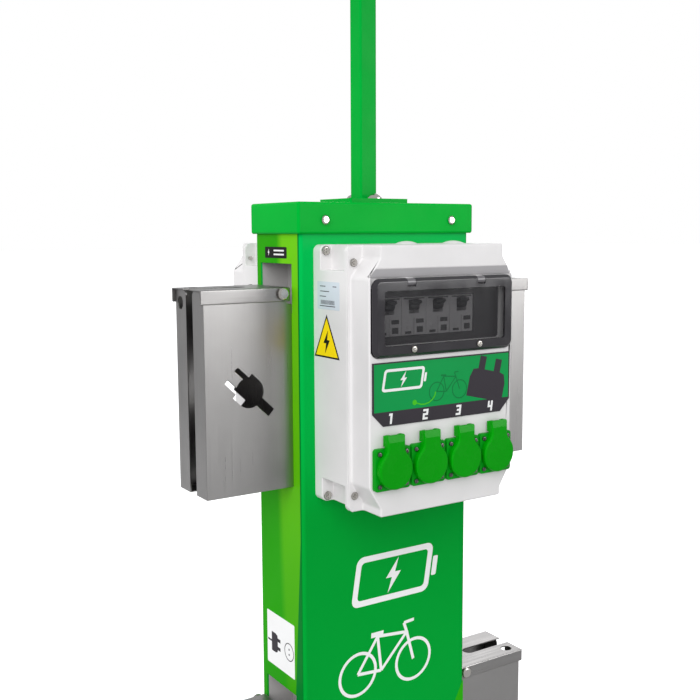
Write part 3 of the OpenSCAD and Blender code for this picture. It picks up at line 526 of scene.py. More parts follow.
# %% [markdown]
# The mast is a square tube with a small corner radius, welded to its flange
# plate. Flange, plug and ground plate get broken edges, but only where an edge
# is longer than 6 mm, which leaves round corners and bolt holes as they are. A
# small weld bead runs round the tube's foot.

# %% Mast, flange and base plate
for node, name, width in (("mast_flange", "mast_foot_plate", 0.0008),
                          ("mast_tube", "square_mast", 0.0002),
                          ("mast_end_cap", "mast_plug", 0.0008),
                          ("base_plate", "ground_plate", 0.001)):
    piece = skin_of(node, name)
    bevel_edges(piece, width, 2, lambda at, along: along.length > 0.006, sharp=50)
    smooth(piece)
    install(piece, SLOT_FINISH[node_slot[node]], node_slot[node], stands_for=[node])

flange_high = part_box("mast_flange")[1]
mast_low, mast_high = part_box("mast_tube")
deselect()
bpy.ops.mesh.primitive_cube_add(size=1, location=(0, 0, flange_high.z + 0.0009),
                                scale=(2*mast_high.x + 0.0044, 2*mast_high.y + 0.0044, 0.0022))
bead = bpy.context.object
bead.name = "mast_weld_bead"
settle(bead)
bevel_edges(bead, 0.0035, 4, lambda at, along: abs(along.z) > 0.001)
bevel_edges(bead, 0.0015, 3, lambda at, along: at.z > flange_high.z + 0.0015)
smooth(bead)
install(bead, mast_paint, "mast_paint")
print("mast from", round(mast_low.z, 4), "to", round(mast_high.z, 4))

# %% [markdown]
# ## Column
# The column is bent from one sheet with a 5 mm outer radius. Its recesses are
# punched, so their edges get a fine break. The film's pattern lies in the
# material.

# %% Column shell
column = skin_of("column_shell", "folded_column")
bevel_edges(column, 0.0004, 2,
            lambda at, along: abs(at.x) > SIDE - 0.0005 and abs(along.x) < 0.0001, sharp=60)
smooth(column)
install(column, column_paint, "column_paint", stands_for=["column_shell"])
print("column faces:", len(column.data.polygons))

# %% [markdown]
# ## Lockers
# A locker body and its lid are cut and bent from 1.5 mm stainless sheet. The
# bends take an outer radius near the sheet's own thickness; the laser-cut
# edges of the slots and the plug-shaped hole keep their sharp edges.

# %% Locker bodies and lids
def bend_or_edge(piece, low, high, radius):
    """Rounds the long outer bends."""
    def is_bend(at, along):
        sides = (abs(at.y - low.y) < 0.0002) + (abs(at.y - high.y) < 0.0002)
        tops = (abs(at.z - high.z) < 0.0002) + (abs(at.z - low.z) < 0.0002)
        ends = (abs(at.x - low.x) < 0.0002) + (abs(at.x - high.x) < 0.0002)
        return sides + tops + ends >= 2 and along.length > 0.01
    bevel_edges(piece, radius, 3, is_bend, sharp=60)


SIDES = ("upper_left", "upper_right", "lower_left", "lower_right")
for side in SIDES:
    body = skin_of("locker_" + side, "locker_box_" + side)
    bend_or_edge(body, *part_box("locker_" + side), 0.0009)
    smooth(body)
    install(body, locker_sheet, "stainless_sheet", stands_for=["locker_" + side])
    lid = skin_of("lid_" + side, "locker_lid_" + side)
    bend_or_edge(lid, *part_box("lid_" + side), 0.0011)
    smooth(lid)
    install(lid, lid_sheet, "stainless_sheet", "lid_" + side, ["lid_" + side])
print("lockers and lids:", len(SIDES))

# %% [markdown]
# ## Enclosures
# Each enclosure is a moulded base on the column and a moulded cover screwed to
# it. A mould needs round edges, so the base gets radii of about a millimetre and
# the cover, which the hand meets, larger ones. Edges at the screw holes stay as
# they are, because a wide bevel on a small hole would fold over itself.

# %% Where an enclosure's screws and edges are
BASE_LOW, BASE_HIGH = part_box("enclosure_base_front")
ENC_MID = (BASE_LOW.z + BASE_HIGH.z)/2
ENC_TALL = (BASE_HIGH.z - BASE_LOW.z)/2
FACE = -0.169                       # the cover's face
SPLIT = BASE_LOW.y                  # where base and cover meet
RIM = SPLIT - 0.003                 # front of the cover's rim
SCREW_X = 0.104                     # the enclosure screws' distance from the centre plane
CORNERS = [(sx, sz) for sx in (-1, 1) for sz in (-1, 1)]
wall_screws = [(sx*SCREW_X, SPLIT + 0.057, ENC_MID + sz*(ENC_TALL - 0.007)) for sx, sz in CORNERS]
cover_screws = [(sx*SCREW_X, RIM, ENC_MID + sz*(ENC_TALL - 0.020)) for sx, sz in CORNERS]


def near_screw(at):
    return any(math.hypot(at.x - x, at.z - z) < 0.0062 for x, _, z in wall_screws + cover_screws)


def cover_half(z):
    """Half the cover's width at height z, with its corners cut for the screws."""
    t = abs(z - ENC_MID)
    slope_from, slope_to = (0.119, 0.142) if z > ENC_MID else (0.121, 0.147)
    share = min(max((t - slope_from)/(slope_to - slope_from), 0), 1)
    return 0.107 - 0.016*share


def on_outline(at):
    return abs(abs(at.x) - cover_half(at.z)) < 0.0005 or abs(abs(at.z - ENC_MID) - ENC_TALL) < 0.0003


print("enclosure from", round(BASE_LOW.z, 4), "to", round(BASE_HIGH.z, 4))

# %% Enclosure bases
base = skin_of("enclosure_base_front", "enclosure_base_shell_front")
bevel_edges(base, 0.0011, 3, lambda at, along: not near_screw(at) and at.y < -0.0575
            and not (at.z > BASE_HIGH.z - 0.004 and abs(at.y + 0.101) < 0.0125 and abs(at.x) < 0.09),
            sharp=50)
smooth(base)
install_both(base, "enclosure_base_shell", grey_plastic, "grey_plastic", node="enclosure_base")
print("base faces:", len(base.data.polygons))

# %% Enclosure covers
cover = skin_of("enclosure_cover_front", "enclosure_cover_shell_front")
bevel_edges(cover, 0.0022, 4, lambda at, along: at.y < RIM + 0.0005 and on_outline(at), sharp=20)
bevel_edges(cover, 0.0007, 2, lambda at, along: at.y > RIM - 0.0002 and
            (abs(at.x) > 0.1105 or abs(at.z - ENC_MID) > ENC_TALL - 0.0005), sharp=60)
bevel_edges(cover, 0.0007, 2, lambda at, along: at.y < FACE + 0.0045 and abs(at.x) < 0.1055
            and 0.9 < at.z < 1.063, sharp=50)
smooth(cover)
install_both(cover, "enclosure_cover_shell", grey_plastic, "grey_plastic", node="enclosure_cover")
print("cover faces:", len(cover.data.polygons))

# %% [markdown]
# ## Screws
# The enclosure's screws have round pan heads with a cross recess. One screw is
# modelled: a cylinder whose upper edge is rounded over in several steps, with a
# cross cut in by a Boolean. It is then copied to each place, and all the screws
# of one kind are one mesh. The head points to -Y.

# %% One cross-head screw
def cylinder(name, radius, depth, at, vertices=32, axis="Y"):
    deselect()
    turn = {"X": (0, math.pi/2, 0), "Y": (math.pi/2, 0, 0), "Z": (0, 0, 0)}[axis]
    bpy.ops.mesh.primitive_cylinder_add(vertices=vertices, radius=radius, depth=depth, location=at,
                                        rotation=turn)
    bpy.context.object.name = name
    settle(bpy.context.object)
    return bpy.context.object


def block(name, low, high):
    """A cuboid between two corners, as a start for a cut or a bevel."""
    low, high = Vector(low), Vector(high)
    deselect()
    bpy.ops.mesh.primitive_cube_add(size=1, location=(low + high)/2, scale=high - low)
    bpy.context.object.name = name
    settle(bpy.context.object)
    return bpy.context.object


def cut(piece, cutters):
    """Takes the cutters out of the piece and removes them."""
    for cutter in cutters:
        hole = piece.modifiers.new("cut", "BOOLEAN")
        hole.operation, hole.solver, hole.object = "DIFFERENCE", "EXACT", cutter
        settle(piece)
        bpy.data.objects.remove(cutter)


def pan_screw(head_d, head_h, shank_d, length, cross=True):
    """A screw whose head's seat is at y = 0, with the head at -Y."""
    head = cylinder("head", head_d/2, head_h, (0, -head_h/2, 0))
    bevel_edges(head, head_h*0.62, 5, lambda at, along: at.y < -head_h*0.9)
    if cross:
        long, thin = head_d*0.28, head_d*0.065
        cut(head, [block("slot", (-long, -head_h - 0.001, -thin), (long, -head_h*0.35, thin)),
                   block("slot", (-thin, -head_h - 0.001, -long), (thin, -head_h*0.35, long))])
    shank = cylinder("shank", shank_d/2, length, (0, length/2, 0), 20)
    screw = joined([head, shank], "screw")
    smooth(screw, 40)
    return screw


def screw_set(name, screw, places, both=True):
    """Copies of a screw at each place, with the back's set if both."""
    copies = [twin(screw, "copy", Matrix.Translation(p)) for p in places]
    if both:
        copies += [twin(one, "copy") for one in list(copies)]
    bpy.data.objects.remove(screw)
    return joined(copies, name)


cover_set = screw_set("cover_screw_set", pan_screw(0.0095, 0.003, 0.005, 0.013), cover_screws)
install(cover_set, bright_steel, "fastener_steel", stands_for=["cover_screws"])
wall_set = screw_set("wall_screw_set", pan_screw(0.011, 0.0035, 0.006, 0.0245), wall_screws)
install(wall_set, bright_steel, "fastener_steel", stands_for=["wall_screws"])
CAP_SCREW_X, CAP_SCREW_Z = 0.097, 1.117
cap_places = [(x, cap_low.y, CAP_SCREW_Z) for x in (-CAP_SCREW_X, CAP_SCREW_X)]
cap_set = screw_set("cap_screw_set", pan_screw(0.011, 0.0033, 0.006, 0.011), cap_places)
install(cap_set, bright_steel, "fastener_steel", stands_for=["cap_screws"])
SOCKET_X = (-0.078, -0.026, 0.026, 0.078)
SOCKET_Z = ENC_MID - ENC_TALL + 0.0575
FLANGE = 0.006                      # thickness of a socket's flange
FLANGE_SCREW = 0.019                # its screws' distance from the socket's centre, each way
socket_places = [(x + sx*FLANGE_SCREW, FACE - FLANGE, SOCKET_Z + sz*FLANGE_SCREW)
                 for x in SOCKET_X for sx, sz in CORNERS]
socket_set = screw_set("socket_screw_set", pan_screw(0.0056, 0.0018, 0.004, 0.015), socket_places)
install(socket_set, dark_steel, "fastener_steel", stands_for=["socket_screws"])
print("screws:", 2*len(cover_screws), "cover,", 2*len(wall_screws), "wall,",
      2*len(socket_places), "socket")

# %% [markdown]
# The locker lids turn on round-headed bolts, smooth as a coach bolt, because
# nobody should undo them from outside. A head is a flattened dome; inside, a
# hexagon nut clamps the side plate.

# %% Lid pivot bolts
PIVOT = (-0.1434, 0.0035, -0.0075)  # from the lid's top, on the column's centre line
LID_TOPS = (1.036, 0.485)
HALF_LID = 0.0407                   # half a lid's width, where the bolt's head sits


def pivot_bolt():
    """A bolt with its head's seat at y = 0 and its nut inside the plate."""
    bolt = pan_screw(0.016, 0.005, 0.008, 0.0104, cross=False)
    nut = cylinder("nut", 0.00525, 0.005, (0, 0.0059, 0), 6)
    bevel_edges(nut, 0.0004, 2, lambda at, along: True)
    return joined([bolt, nut], "bolt")


bolt = pivot_bolt()
bolts = []
for level in LID_TOPS:
    for turn in SIDE_TURN.values():
        centre = Matrix.Translation((PIVOT[0], PIVOT[1], level + PIVOT[2]))
        bolts.append(twin(bolt, "bolt", centre @ turn @ Matrix.Translation((0, -HALF_LID, 0))))
bolts += [twin(one, "bolt") for one in list(bolts)]
bpy.data.objects.remove(bolt)
pivot_set = joined(bolts, "pivot_bolt_set")
install(pivot_set, bright_steel, "fastener_steel", stands_for=["lid_pivot_bolts"])
print("pivot bolts:", len(bolts))

# %% [markdown]
# ## Sockets and flaps
# The socket bodies keep the CAD shape with moulded edges. A flap is one moulded
# cup: a round disc that runs into a narrower neck with the hinge. Its outline is
# drawn flat as two tangent curves, extruded to the flap's thickness, rounded
# over on the front and hollowed from the back for the socket's rim and the
# hinge tab. A shallow wedge is cut off the front of its neck. One flap is
# modelled and copied to all eight places.

# %% Socket rows
sockets = skin_of("sockets_front", "socket_row_front")
HALF_FLANGE = 0.025


def on_flange_edge(at, along):
    """Edges of the four square flanges' front, away from the wells."""
    beside = min(abs(abs(at.x - x) - HALF_FLANGE) for x in SOCKET_X) < 0.0048
    over_or_under = abs(at.z - SOCKET_Z) > 0.0205
    at_front = abs(at.y - FACE + FLANGE) < 0.0002
    return at_front and (over_or_under or beside) and at.z < SOCKET_Z + HALF_FLANGE + 0.0004


bevel_edges(sockets, 0.001, 3, on_flange_edge, sharp=60)
smooth(sockets)
install_both(sockets, "socket_row", socket_plastic, "socket_plastic", node="sockets")
print("sockets in a row:", len(SOCKET_X), "faces:", len(sockets.data.polygons))


# %% A flat outline made solid
def arc(cx, cy, r, start, end, steps):
    """Points of an arc, with its angles in degrees."""
    return [(cx + r*math.cos(math.radians(start + (end - start)*k/steps)),
             cy + r*math.sin(math.radians(start + (end - start)*k/steps))) for k in range(steps + 1)]


def plate(name, outlines, thick, scale=0.001):
    """A flat plate in the XY plane, from z = 0 up, with holes where outlines lie inside others."""
    curve = bpy.data.curves.new(name, "CURVE")
    curve.dimensions, curve.fill_mode, curve.extrude = "2D", "BOTH", thick/2
    for outline in outlines:
        line = curve.splines.new("POLY")
        line.points.add(len(outline) - 1)
        for point, (x, y) in zip(line.points, outline):
            point.co = (x*scale, y*scale, 0, 1)
        line.use_cyclic_u = True
    piece = bpy.data.objects.new(name, curve)
    bpy.context.scene.collection.objects.link(piece)
    activate(piece)
    bpy.ops.object.convert(target="MESH")
    piece = bpy.context.object
    piece.data.transform(Matrix.Translation((0, 0, thick/2)))
    bpy.ops.object.mode_set(mode="EDIT")
    bpy.ops.mesh.select_all(action="SELECT")
    bpy.ops.mesh.remove_doubles(threshold=0.000002)
    bpy.ops.mesh.normals_make_consistent(inside=False)
    bpy.ops.object.mode_set(mode="OBJECT")
    return piece


FACING_FRONT = Matrix.Rotation(math.pi/2, 4, "X")            # XY becomes XZ, and up becomes -Y


def stand(piece, x, y, z):
    """Stands a plate up to face -Y, with its own origin at the place."""
    piece.data.transform(Matrix.Translation((x, y, z)) @ FACING_FRONT)
    return piece


print("a plate is drawn flat and then stood up to face the front")

# %% One flap and its copies
DISC, NECK, NECK_TOP, BLEND = 23.5, 12.3, 41.0, 13.0     # millimetres, from the socket's centre
FLAP_WALL = 0.0024
CHEEK_IN, CHEEK_OUT = 0.0073, 0.0123                         # a hinge cheek's two sides
blend_x = NECK + BLEND
blend_y = math.sqrt((DISC + BLEND)**2 - blend_x**2)
meet = math.degrees(math.atan2(blend_y, blend_x))
right = (arc(0, 0, DISC, -90, meet, 28)
         + arc(blend_x, blend_y, BLEND, 180 + meet, 180, 8)
         + arc(NECK - 2, NECK_TOP - 2, 2, 0, 90, 4))
flap_outline = right + [(-x, y) for x, y in reversed(right[1:])]
flap_back, flap_front = FACE - 0.0063, FACE - 0.014
flap = stand(plate("flap", [flap_outline], flap_back - flap_front), 0, flap_back, 0)
bevel_edges(flap, 0.0026, 6, lambda at, along: at.y < flap_front + 0.0001)
bevel_edges(flap, 0.0004, 2, lambda at, along: at.y > flap_back - 0.0001)
lip = block("lip", (-0.02, flap_front - 0.003, 0.0325), (0.02, flap_front + 0.0003, 0.0430))
for corner in lip.data.vertices:
    if corner.co.z > 0.04 and corner.co.y > flap_front:
        corner.co.y += 0.0016
cut(flap, [lip, cylinder("cup", 0.0221, 0.02, (0, flap_front + FLAP_WALL + 0.01, 0), 64),
           block("fork", (-CHEEK_IN, flap_front + FLAP_WALL, 0.0238), (CHEEK_IN, FACE, 0.0415))])
cheeks = []
for near, far in ((-CHEEK_OUT, -CHEEK_IN), (CHEEK_IN, CHEEK_OUT)):
    cheek = block("cheek", (near, flap_back - 0.0012, 0.0272), (far, FACE - 0.003, 0.0400))
    bevel_edges(cheek, 0.0006, 2, lambda at, along: at.y > FACE - 0.0031)
    cheeks.append(cheek)
flap = joined([flap, *cheeks], "flap")
smooth(flap, 35)
for side, turn in SIDE_TURN.items():
    for k, x in enumerate(SOCKET_X, 1):
        copy = twin(flap, f"socket_flap_{side}_{k}", turn @ Matrix.Translation((x, 0, SOCKET_Z)))
        install(copy, flap_plastic, "flap_plastic", f"flap_{side}_{k}", [f"flap_{side}_{k}"])
print("flap faces:", len(flap.data.polygons))
bpy.data.objects.remove(flap)

# %% [markdown]
# ## Window lid
# The lid over the breakers is a tray of smoked polycarbonate. Its thick rim looks
# nearly black, because light crosses much plastic there, and the thin pane in
# the middle is clear enough to read the breakers. So it is made as a rim and a
# pane: the rim is a rounded plate with a chamfer, hollowed from behind, and
# notched where the cover's two hinge lugs reach in.

# %% Rounded outlines
def round_box(w, h, r, cx=0, cy=0, steps=6):
    """Outline of a rectangle with round corners."""
    points = []
    for k, (sx, sy) in enumerate(((1, 1), (-1, 1), (-1, -1), (1, -1))):
        points += arc(cx + sx*(w/2 - r), cy + sy*(h/2 - r), r, 90*k, 90*k + 90, steps)
    return points


WIN_LOW, WIN_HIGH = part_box("window_lid_front")
WIN_X, WIN_Z = 0.0, (WIN_LOW.z + WIN_HIGH.z)/2
WIN_W, WIN_H = 1000*(WIN_HIGH.x - WIN_LOW.x), 1000*(WIN_HIGH.z - WIN_LOW.z)
WIN_FACE, WIN_BACK = WIN_LOW.y, FACE + 0.003
PANE_W, PANE_H, PANE_Z = 180, 63, WIN_Z - 0.0005
HINGE = (FACE - 0.002, WIN_HIGH.z - 0.005)                   # the hinge's y and z
LUG_X, NOTCH = 0.052, 0.00605
print("window lid in mm:", round(WIN_W), "by", round(WIN_H))

# %% Lid rim and pane
rim = stand(plate("window_rim_front", [round_box(WIN_W, WIN_H, 10)], WIN_BACK - WIN_FACE),
            WIN_X, WIN_BACK, WIN_Z)
bevel_edges(rim, 0.0036, 1, lambda at, along: at.y < WIN_FACE + 0.0001, sharp=60)
bevel_edges(rim, 0.0005, 2, lambda at, along: at.y < WIN_FACE + 0.0040, sharp=30)
inside = stand(plate("inside", [round_box(WIN_W - 8, WIN_H - 8, 7)], 0.0075),
               WIN_X, WIN_BACK + 0.001, WIN_Z)
pane_hole = stand(plate("hole", [round_box(PANE_W, PANE_H, 3)], 0.03), 0, WIN_BACK, PANE_Z)
notches = [block("notch", (x - NOTCH, WIN_FACE - 0.001, HINGE[1] - 0.005),
                 (x + NOTCH, WIN_BACK + 0.001, WIN_HIGH.z + 0.001)) for x in (-LUG_X, LUG_X)]
heel = block("heel", (-0.106, HINGE[0] + 0.002, HINGE[1] - 0.006),
             (0.106, WIN_BACK + 0.001, WIN_HIGH.z + 0.001))
cut(rim, [inside, pane_hole, heel, *notches])
ears = []
for x in (-LUG_X, LUG_X):
    for side in (-1, 1):
        ear = cylinder("ear", 0.0042, 0.004, (x + side*(NOTCH + 0.002), HINGE[0], HINGE[1]), 24, "X")
        bevel_edges(ear, 0.0004, 2, lambda at, along: True)
        ears.append(ear)
rim = joined([rim, *ears], "window_rim_front")
smooth(rim, 28)
pane = stand(plate("window_pane_front", [round_box(PANE_W, PANE_H, 3)], 0.0018),
             0, WIN_FACE + 0.0030, PANE_Z)
bevel_edges(pane, 0.0004, 2, lambda at, along: True, sharp=60)
smooth(pane)
install_both(rim, "window_rim", window_rim, "smoked_window", "window", "window_lid")
install_both(pane, "window_pane", smoked_window, "smoked_window", "window")
print("window rim faces:", len(rim.data.polygons))

# %% Ledge over the lid
# A grey strip lies on the slope that leads rain past the lid.
LEDGE_LOW, LEDGE_HIGH = WIN_HIGH.z + 0.0009, WIN_HIGH.z + 0.0106
LEDGE_HALF = 0.104
ledge = block("window_ledge_front", (-LEDGE_HALF, FACE - 0.0001, LEDGE_LOW),
              (LEDGE_HALF, FACE + 0.0003, LEDGE_HIGH))
for corner in ledge.data.vertices:
    corner.co.y += 0.0028*(LEDGE_HIGH - corner.co.z)/(LEDGE_HIGH - LEDGE_LOW)
    corner.co.x = math.copysign(min(LEDGE_HALF, cover_half(corner.co.z) - 0.001), corner.co.x)
install_both(ledge, "window_ledge", clear_grey, "smoked_window")
print("ledge tall in mm:", round(1000*(LEDGE_HIGH - LEDGE_LOW), 1))

# %% Hinge sleeves
# Grey sleeves sit round the cover's two hinge lugs.
sleeves = []
for x in (-LUG_X, LUG_X):
    sleeve = cylinder("sleeve", 0.0047, 0.0117, (x, HINGE[0], HINGE[1]), 40, "X")
    bevel_edges(sleeve, 0.0006, 2, lambda at, along: True)
    sleeves.append(sleeve)
sleeves = joined(sleeves, "window_hinge_sleeves_front")
smooth(sleeves)
install_both(sleeves, "window_hinge_sleeves", hinge_grey, "black_plastic")
print("hinge sleeves: 4")

# %% Window screws
for side, turn in SIDE_TURN.items():
    places = [(x, WIN_FACE, WIN_LOW.z + 0.008) for x in (-0.049, 0.049)]
    pair = screw_set("window_screw_pair_" + side, pan_screw(0.008, 0.0024, 0.004, 0.010), places, False)
    pair.data.transform(turn)
    install(pair, bright_steel, "fastener_steel", "window_" + side, ["window_screws_" + side])
print("window screws: 4")

# %% [markdown]
# ## Breakers
# Behind the window are four two-module breakers. Their moulded housings get
# broken edges, a groove between the two modules, printed rating patches without
# any text, and black toggles whose edges are round to the thumb.

# %% Breaker rows
BREAKER = [(-0.0742 + 0.0356*k) for k in range(4)]
NOSE = FACE + 0.0075                                         # front of the breakers' noses
row = skin_of("breakers_front", "breaker_row_front")
bevel_edges(row, 0.0006, 2, lambda at, along: at.y < NOSE + 0.0003, sharp=60)
cut(row, [block("groove", (x - 0.0004, NOSE - 0.001, WIN_Z - 0.0226),
                (x + 0.0004, NOSE + 0.0012, WIN_Z - 0.002)) for x in BREAKER])
smooth(row)
install_both(row, "breaker_row", breaker_plastic, "breaker_plastic", node="breakers")

patches = []
for x in BREAKER:
    for dx, dz, w, h in ((0.0085, -0.006, 11, 5), (-0.0085, -0.019, 9, 3), (0.0085, -0.016, 9, 7),
                         (0.0, 0.0205, 30, 1.6)):
        patches.append(stand(plate("patch", [round_box(w, h, 0.5)], 0.0002), x + dx, NOSE, WIN_Z + dz))
patch_set = joined(patches, "breaker_prints_front")
install_both(patch_set, "breaker_prints", toggle_plastic, "toggle_plastic")
for side in ("front", "back"):
    for k in range(1, 5):
        lever = skin_of(f"toggle_{side}_{k}", f"breaker_toggle_{side}_{k}")
        bevel_edges(lever, 0.0005, 2, lambda at, along: True, sharp=50)
        smooth(lever)
        install(lever, toggle_plastic, "toggle_plastic", f"toggle_{side}_{k}", [f"toggle_{side}_{k}"])
print("breakers:", 2*len(BREAKER), "print patches:", 2*len(patches))

# %% [markdown]
# ## Sign plate
# The sign is a thin printed plate: a dark frame and number strip, a green field
# above it with a dark plug, a battery and a bicycle, and the socket numbers.
# Each colour is a film a tenth of a millimetre thick, cut as a flat outline, so
# the edges stay crisp from any distance.

# %% Inks and pictograms
def ink(name, colour, roughness=0.4):
    return moulded(name, colour, roughness, 1800, 0.00002, Specular_IOR_Level=0.1)


white_ink = ink("white_ink", rgba(240, 240, 240))
dark_ink = ink("dark_ink", rgba(56, 52, 58))
sign_green = ink("sign_green", rgba(0, 150, 72))
deep_green = ink("deep_green", rgba(0, 118, 58))
leaf_green = ink("leaf_green", rgba(70, 190, 30))
lime_ink = ink("lime_ink", rgba(40, 168, 0))
yellow_ink = ink("yellow_ink", rgba(255, 224, 20))
black_ink = ink("black_ink", rgba(28, 26, 28))
label_ink = ink("label_ink", rgba(205, 214, 222))
FILM, HAIR = 0.0001, 0.000003


def slanted(outline, slant=0.18):
    return [(x + slant*y, y) for x, y in outline]


def moved(outline, dx, dy, scale=1.0):
    return [(dx + scale*x, dy + scale*y) for x, y in outline]


def bar(x0, y0, x1, y1, wide):
    """A straight bar between two points."""
    run = math.hypot(x1 - x0, y1 - y0)
    nx, ny = -(y1 - y0)/run*wide/2, (x1 - x0)/run*wide/2
    return [(x0 + nx, y0 + ny), (x0 - nx, y0 - ny), (x1 - nx, y1 - ny), (x1 + nx, y1 + ny)]


BOLT = [(3, 14), (-7, -1.5), (-1.2, -1.5), (-3.5, -14), (7, 2.5), (1.2, 2.5)]


def battery(w, h, line):
    """A battery with a bolt in it: frame, terminal and bolt."""
    frame_loops = [round_box(w, h, h*0.16), round_box(w - 2*line, h - 2*line, h*0.08)]
    return [frame_loops, [round_box(h*0.12, h*0.4, h*0.03, w/2 + h*0.1)], [moved(BOLT, 0, 0, h/40)]]


def bicycle(span, line):
    """A bicycle seen from its side, as rings and bars."""
    r, a = span*0.2, span*0.3
    crank, seat, head = (-span*0.05, -r*0.1), (-span*0.12, r*1.5), (span*0.2, r*1.35)
    rings = [[arc(x, 0, r, 0, 351, 39), arc(x, 0, r - line, 0, 351, 39)] for x in (-a, a)]
    bars = [bar(-a, 0, *crank, line), bar(-a, 0, *seat, line), bar(*crank, *seat, line),
            bar(*crank, *head, line), bar(*seat, *head, line), bar(*head, a, 0, line),
            bar(*head, head[0] - r*0.2, head[1] + r*0.45, line),
            bar(head[0] - r*0.2, head[1] + r*0.45, head[0] + r*0.35, head[1] + r*0.5, line),
            bar(seat[0] - r*0.35, seat[1] + r*0.1, seat[0] + r*0.3, seat[1] + r*0.1, line*1.6)]
    return rings + [[one] for one in bars]


PLUG = [(-31, -19), (31, -19), (31, 6), (27, 17), (19, 19), (19, 36), (8, 36), (8, 19),
        (-8, 19), (-8, 36), (-19, 36), (-19, 19), (-27, 17), (-31, 6)]
DIGITS = {
    1: [[(-1, 6.5), (2, 6.5), (2, -6.5), (-1, -6.5)], [(-3.2, 6.5), (-1, 6.5), (-1, 3.6), (-3.2, 3.6)]],
    2: [[(-4, 6.5), (4, 6.5), (4, -1.2), (-1, -1.2), (-1, -3.8), (4, -3.8), (4, -6.5), (-4, -6.5),
         (-4, 1.4), (1, 1.4), (1, 3.8), (-4, 3.8)]],
    3: [[(-4, 6.5), (4, 6.5), (4, -6.5), (-4, -6.5), (-4, -3.8), (1, -3.8), (1, -1.2), (-2.5, -1.2),
         (-2.5, 1.4), (1, 1.4), (1, 3.8), (-4, 3.8)]],
    4: [[(-4, 6.5), (-1.2, 6.5), (-1.2, 0.8), (1, 0.8), (1, 6.5), (4, 6.5), (4, -6.5), (1, -6.5),
         (1, -1.8), (-4, -1.8)]]}


def film(name, shapes, place, thick=FILM):
    """Joins several flat shapes, each a list of outlines, placed by a function.

    Each is a hair thicker than the one before, so that where two overlap, one is on top.
    """
    return joined([place(plate(name, shape, thick + HAIR*k)) for k, shape in enumerate(shapes)], name)


def installed_pair(piece, material, slot, body="post"):
    """The front or left piece and its half-turned twin."""
    name = piece.name
    piece.name = name + "_a"
    other = twin(piece, name + "_b")
    install(piece, material, slot, body)
    install(other, material, slot, body)
    return piece, other


print("digits drawn:", sorted(DIGITS))

# %% Sign plates
sign_low, sign_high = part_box("sign_plates")
SIGN_Z = (sign_low.z + sign_high.z)/2
CUT = 15                                                     # millimetres, as the next two
half_w, half_h = 103.5, 37.0
sign_outline = [(-half_w, half_h), (-half_w, CUT - half_h), (CUT - half_w, -half_h),
                (half_w - CUT, -half_h), (half_w, CUT - half_h), (half_w, half_h)]
sign = stand(plate("sign", [sign_outline], 0.0012), 0, FACE, SIGN_Z)
bevel_edges(sign, 0.0003, 2, lambda at, along: at.y < FACE - 0.0011)
sign_back = twin(sign, "sign_plate_back")
sign.name = "sign_plate_front"
install(sign, dark_ink, "sign_face", stands_for=["sign_plates"])
install(sign_back, dark_ink, "sign_face")
TOP_FILM = FACE - 0.0012


def on_sign(level):
    return lambda piece: stand(piece, 0, TOP_FILM - level*FILM, SIGN_Z)


field = [(-half_w + 2.2, half_h - 1.6), (-half_w + 2.2, -20), (half_w - 2.2, -20),
         (half_w - 2.2, half_h - 1.6)]
installed_pair(film("sign_field", [[field]], on_sign(0)), sign_green, "sign_face")
bike = [[moved(o, 6, -3) for o in shape] for shape in bicycle(58, 1.2)]
installed_pair(film("sign_bicycle", bike, on_sign(1)), deep_green, "sign_face")
lead_curve = [(-41, -14), (-35, -16), (-29, -16.4), (-23, -15), (-18, -12), (-14.5, -8), (-13, -3)]
leaf = [[arc(-44, -13, 3.2, 20, 380, 16)]]
leaf += [[bar(*a, *b, 1.5)] for a, b in zip(lead_curve, lead_curve[1:])]
installed_pair(film("sign_lead", leaf, on_sign(2)), leaf_green, "sign_face")
PLUG_LEAN = math.radians(-13)
leaning = [(x*math.cos(PLUG_LEAN) - y*math.sin(PLUG_LEAN), x*math.sin(PLUG_LEAN) + y*math.cos(PLUG_LEAN))
           for x, y in PLUG]
plug_shape = [[moved(leaning, 66, -1.5, 0.93)]]
installed_pair(film("sign_plug", plug_shape, on_sign(1)), dark_ink, "sign_face")
cell = [[moved(slanted(o), -60, 16) for o in shape] for shape in battery(58, 26, 3.2)]
installed_pair(film("sign_battery", cell, on_sign(2)), white_ink, "sign_face")
numbers = [[moved(slanted(o, 0.12), x, -28.5, 0.95)]
           for strokes, x in zip(DIGITS.values(), (-78, -28, 22, 72)) for o in strokes]
installed_pair(film("sign_numbers", numbers, on_sign(2)), white_ink, "sign_face")
print("sign films: 6 on each plate")

# %% [markdown]
# ## Column graphics and stickers
# The wide faces carry white film: a large battery sign where people look for the
# service, and a bicycle under it. Lower down a lime sweep comes in from the
# edge. The narrow sides have a small dark sticker over the upper recess and a
# white how-to sticker with a plug and a socket over the lower one. The
# enclosure's side shows a pale rating plate, with bars in place of words, and a
# yellow triangle with a bolt, the usual sign for live parts.

# %% Column graphics
def on_column(x, z):
    return lambda piece: stand(piece, x, -FRONT, z)


def side_place(x, y, z):
    """Puts a plate on a left side, facing -X, with its own right towards the front."""
    facing = Matrix(((0, 0, -1, x), (-1, 0, 0, y), (0, 1, 0, z), (0, 0, 0, 1)))

    def place(piece):
        piece.data.transform(facing)
        return piece
    return place


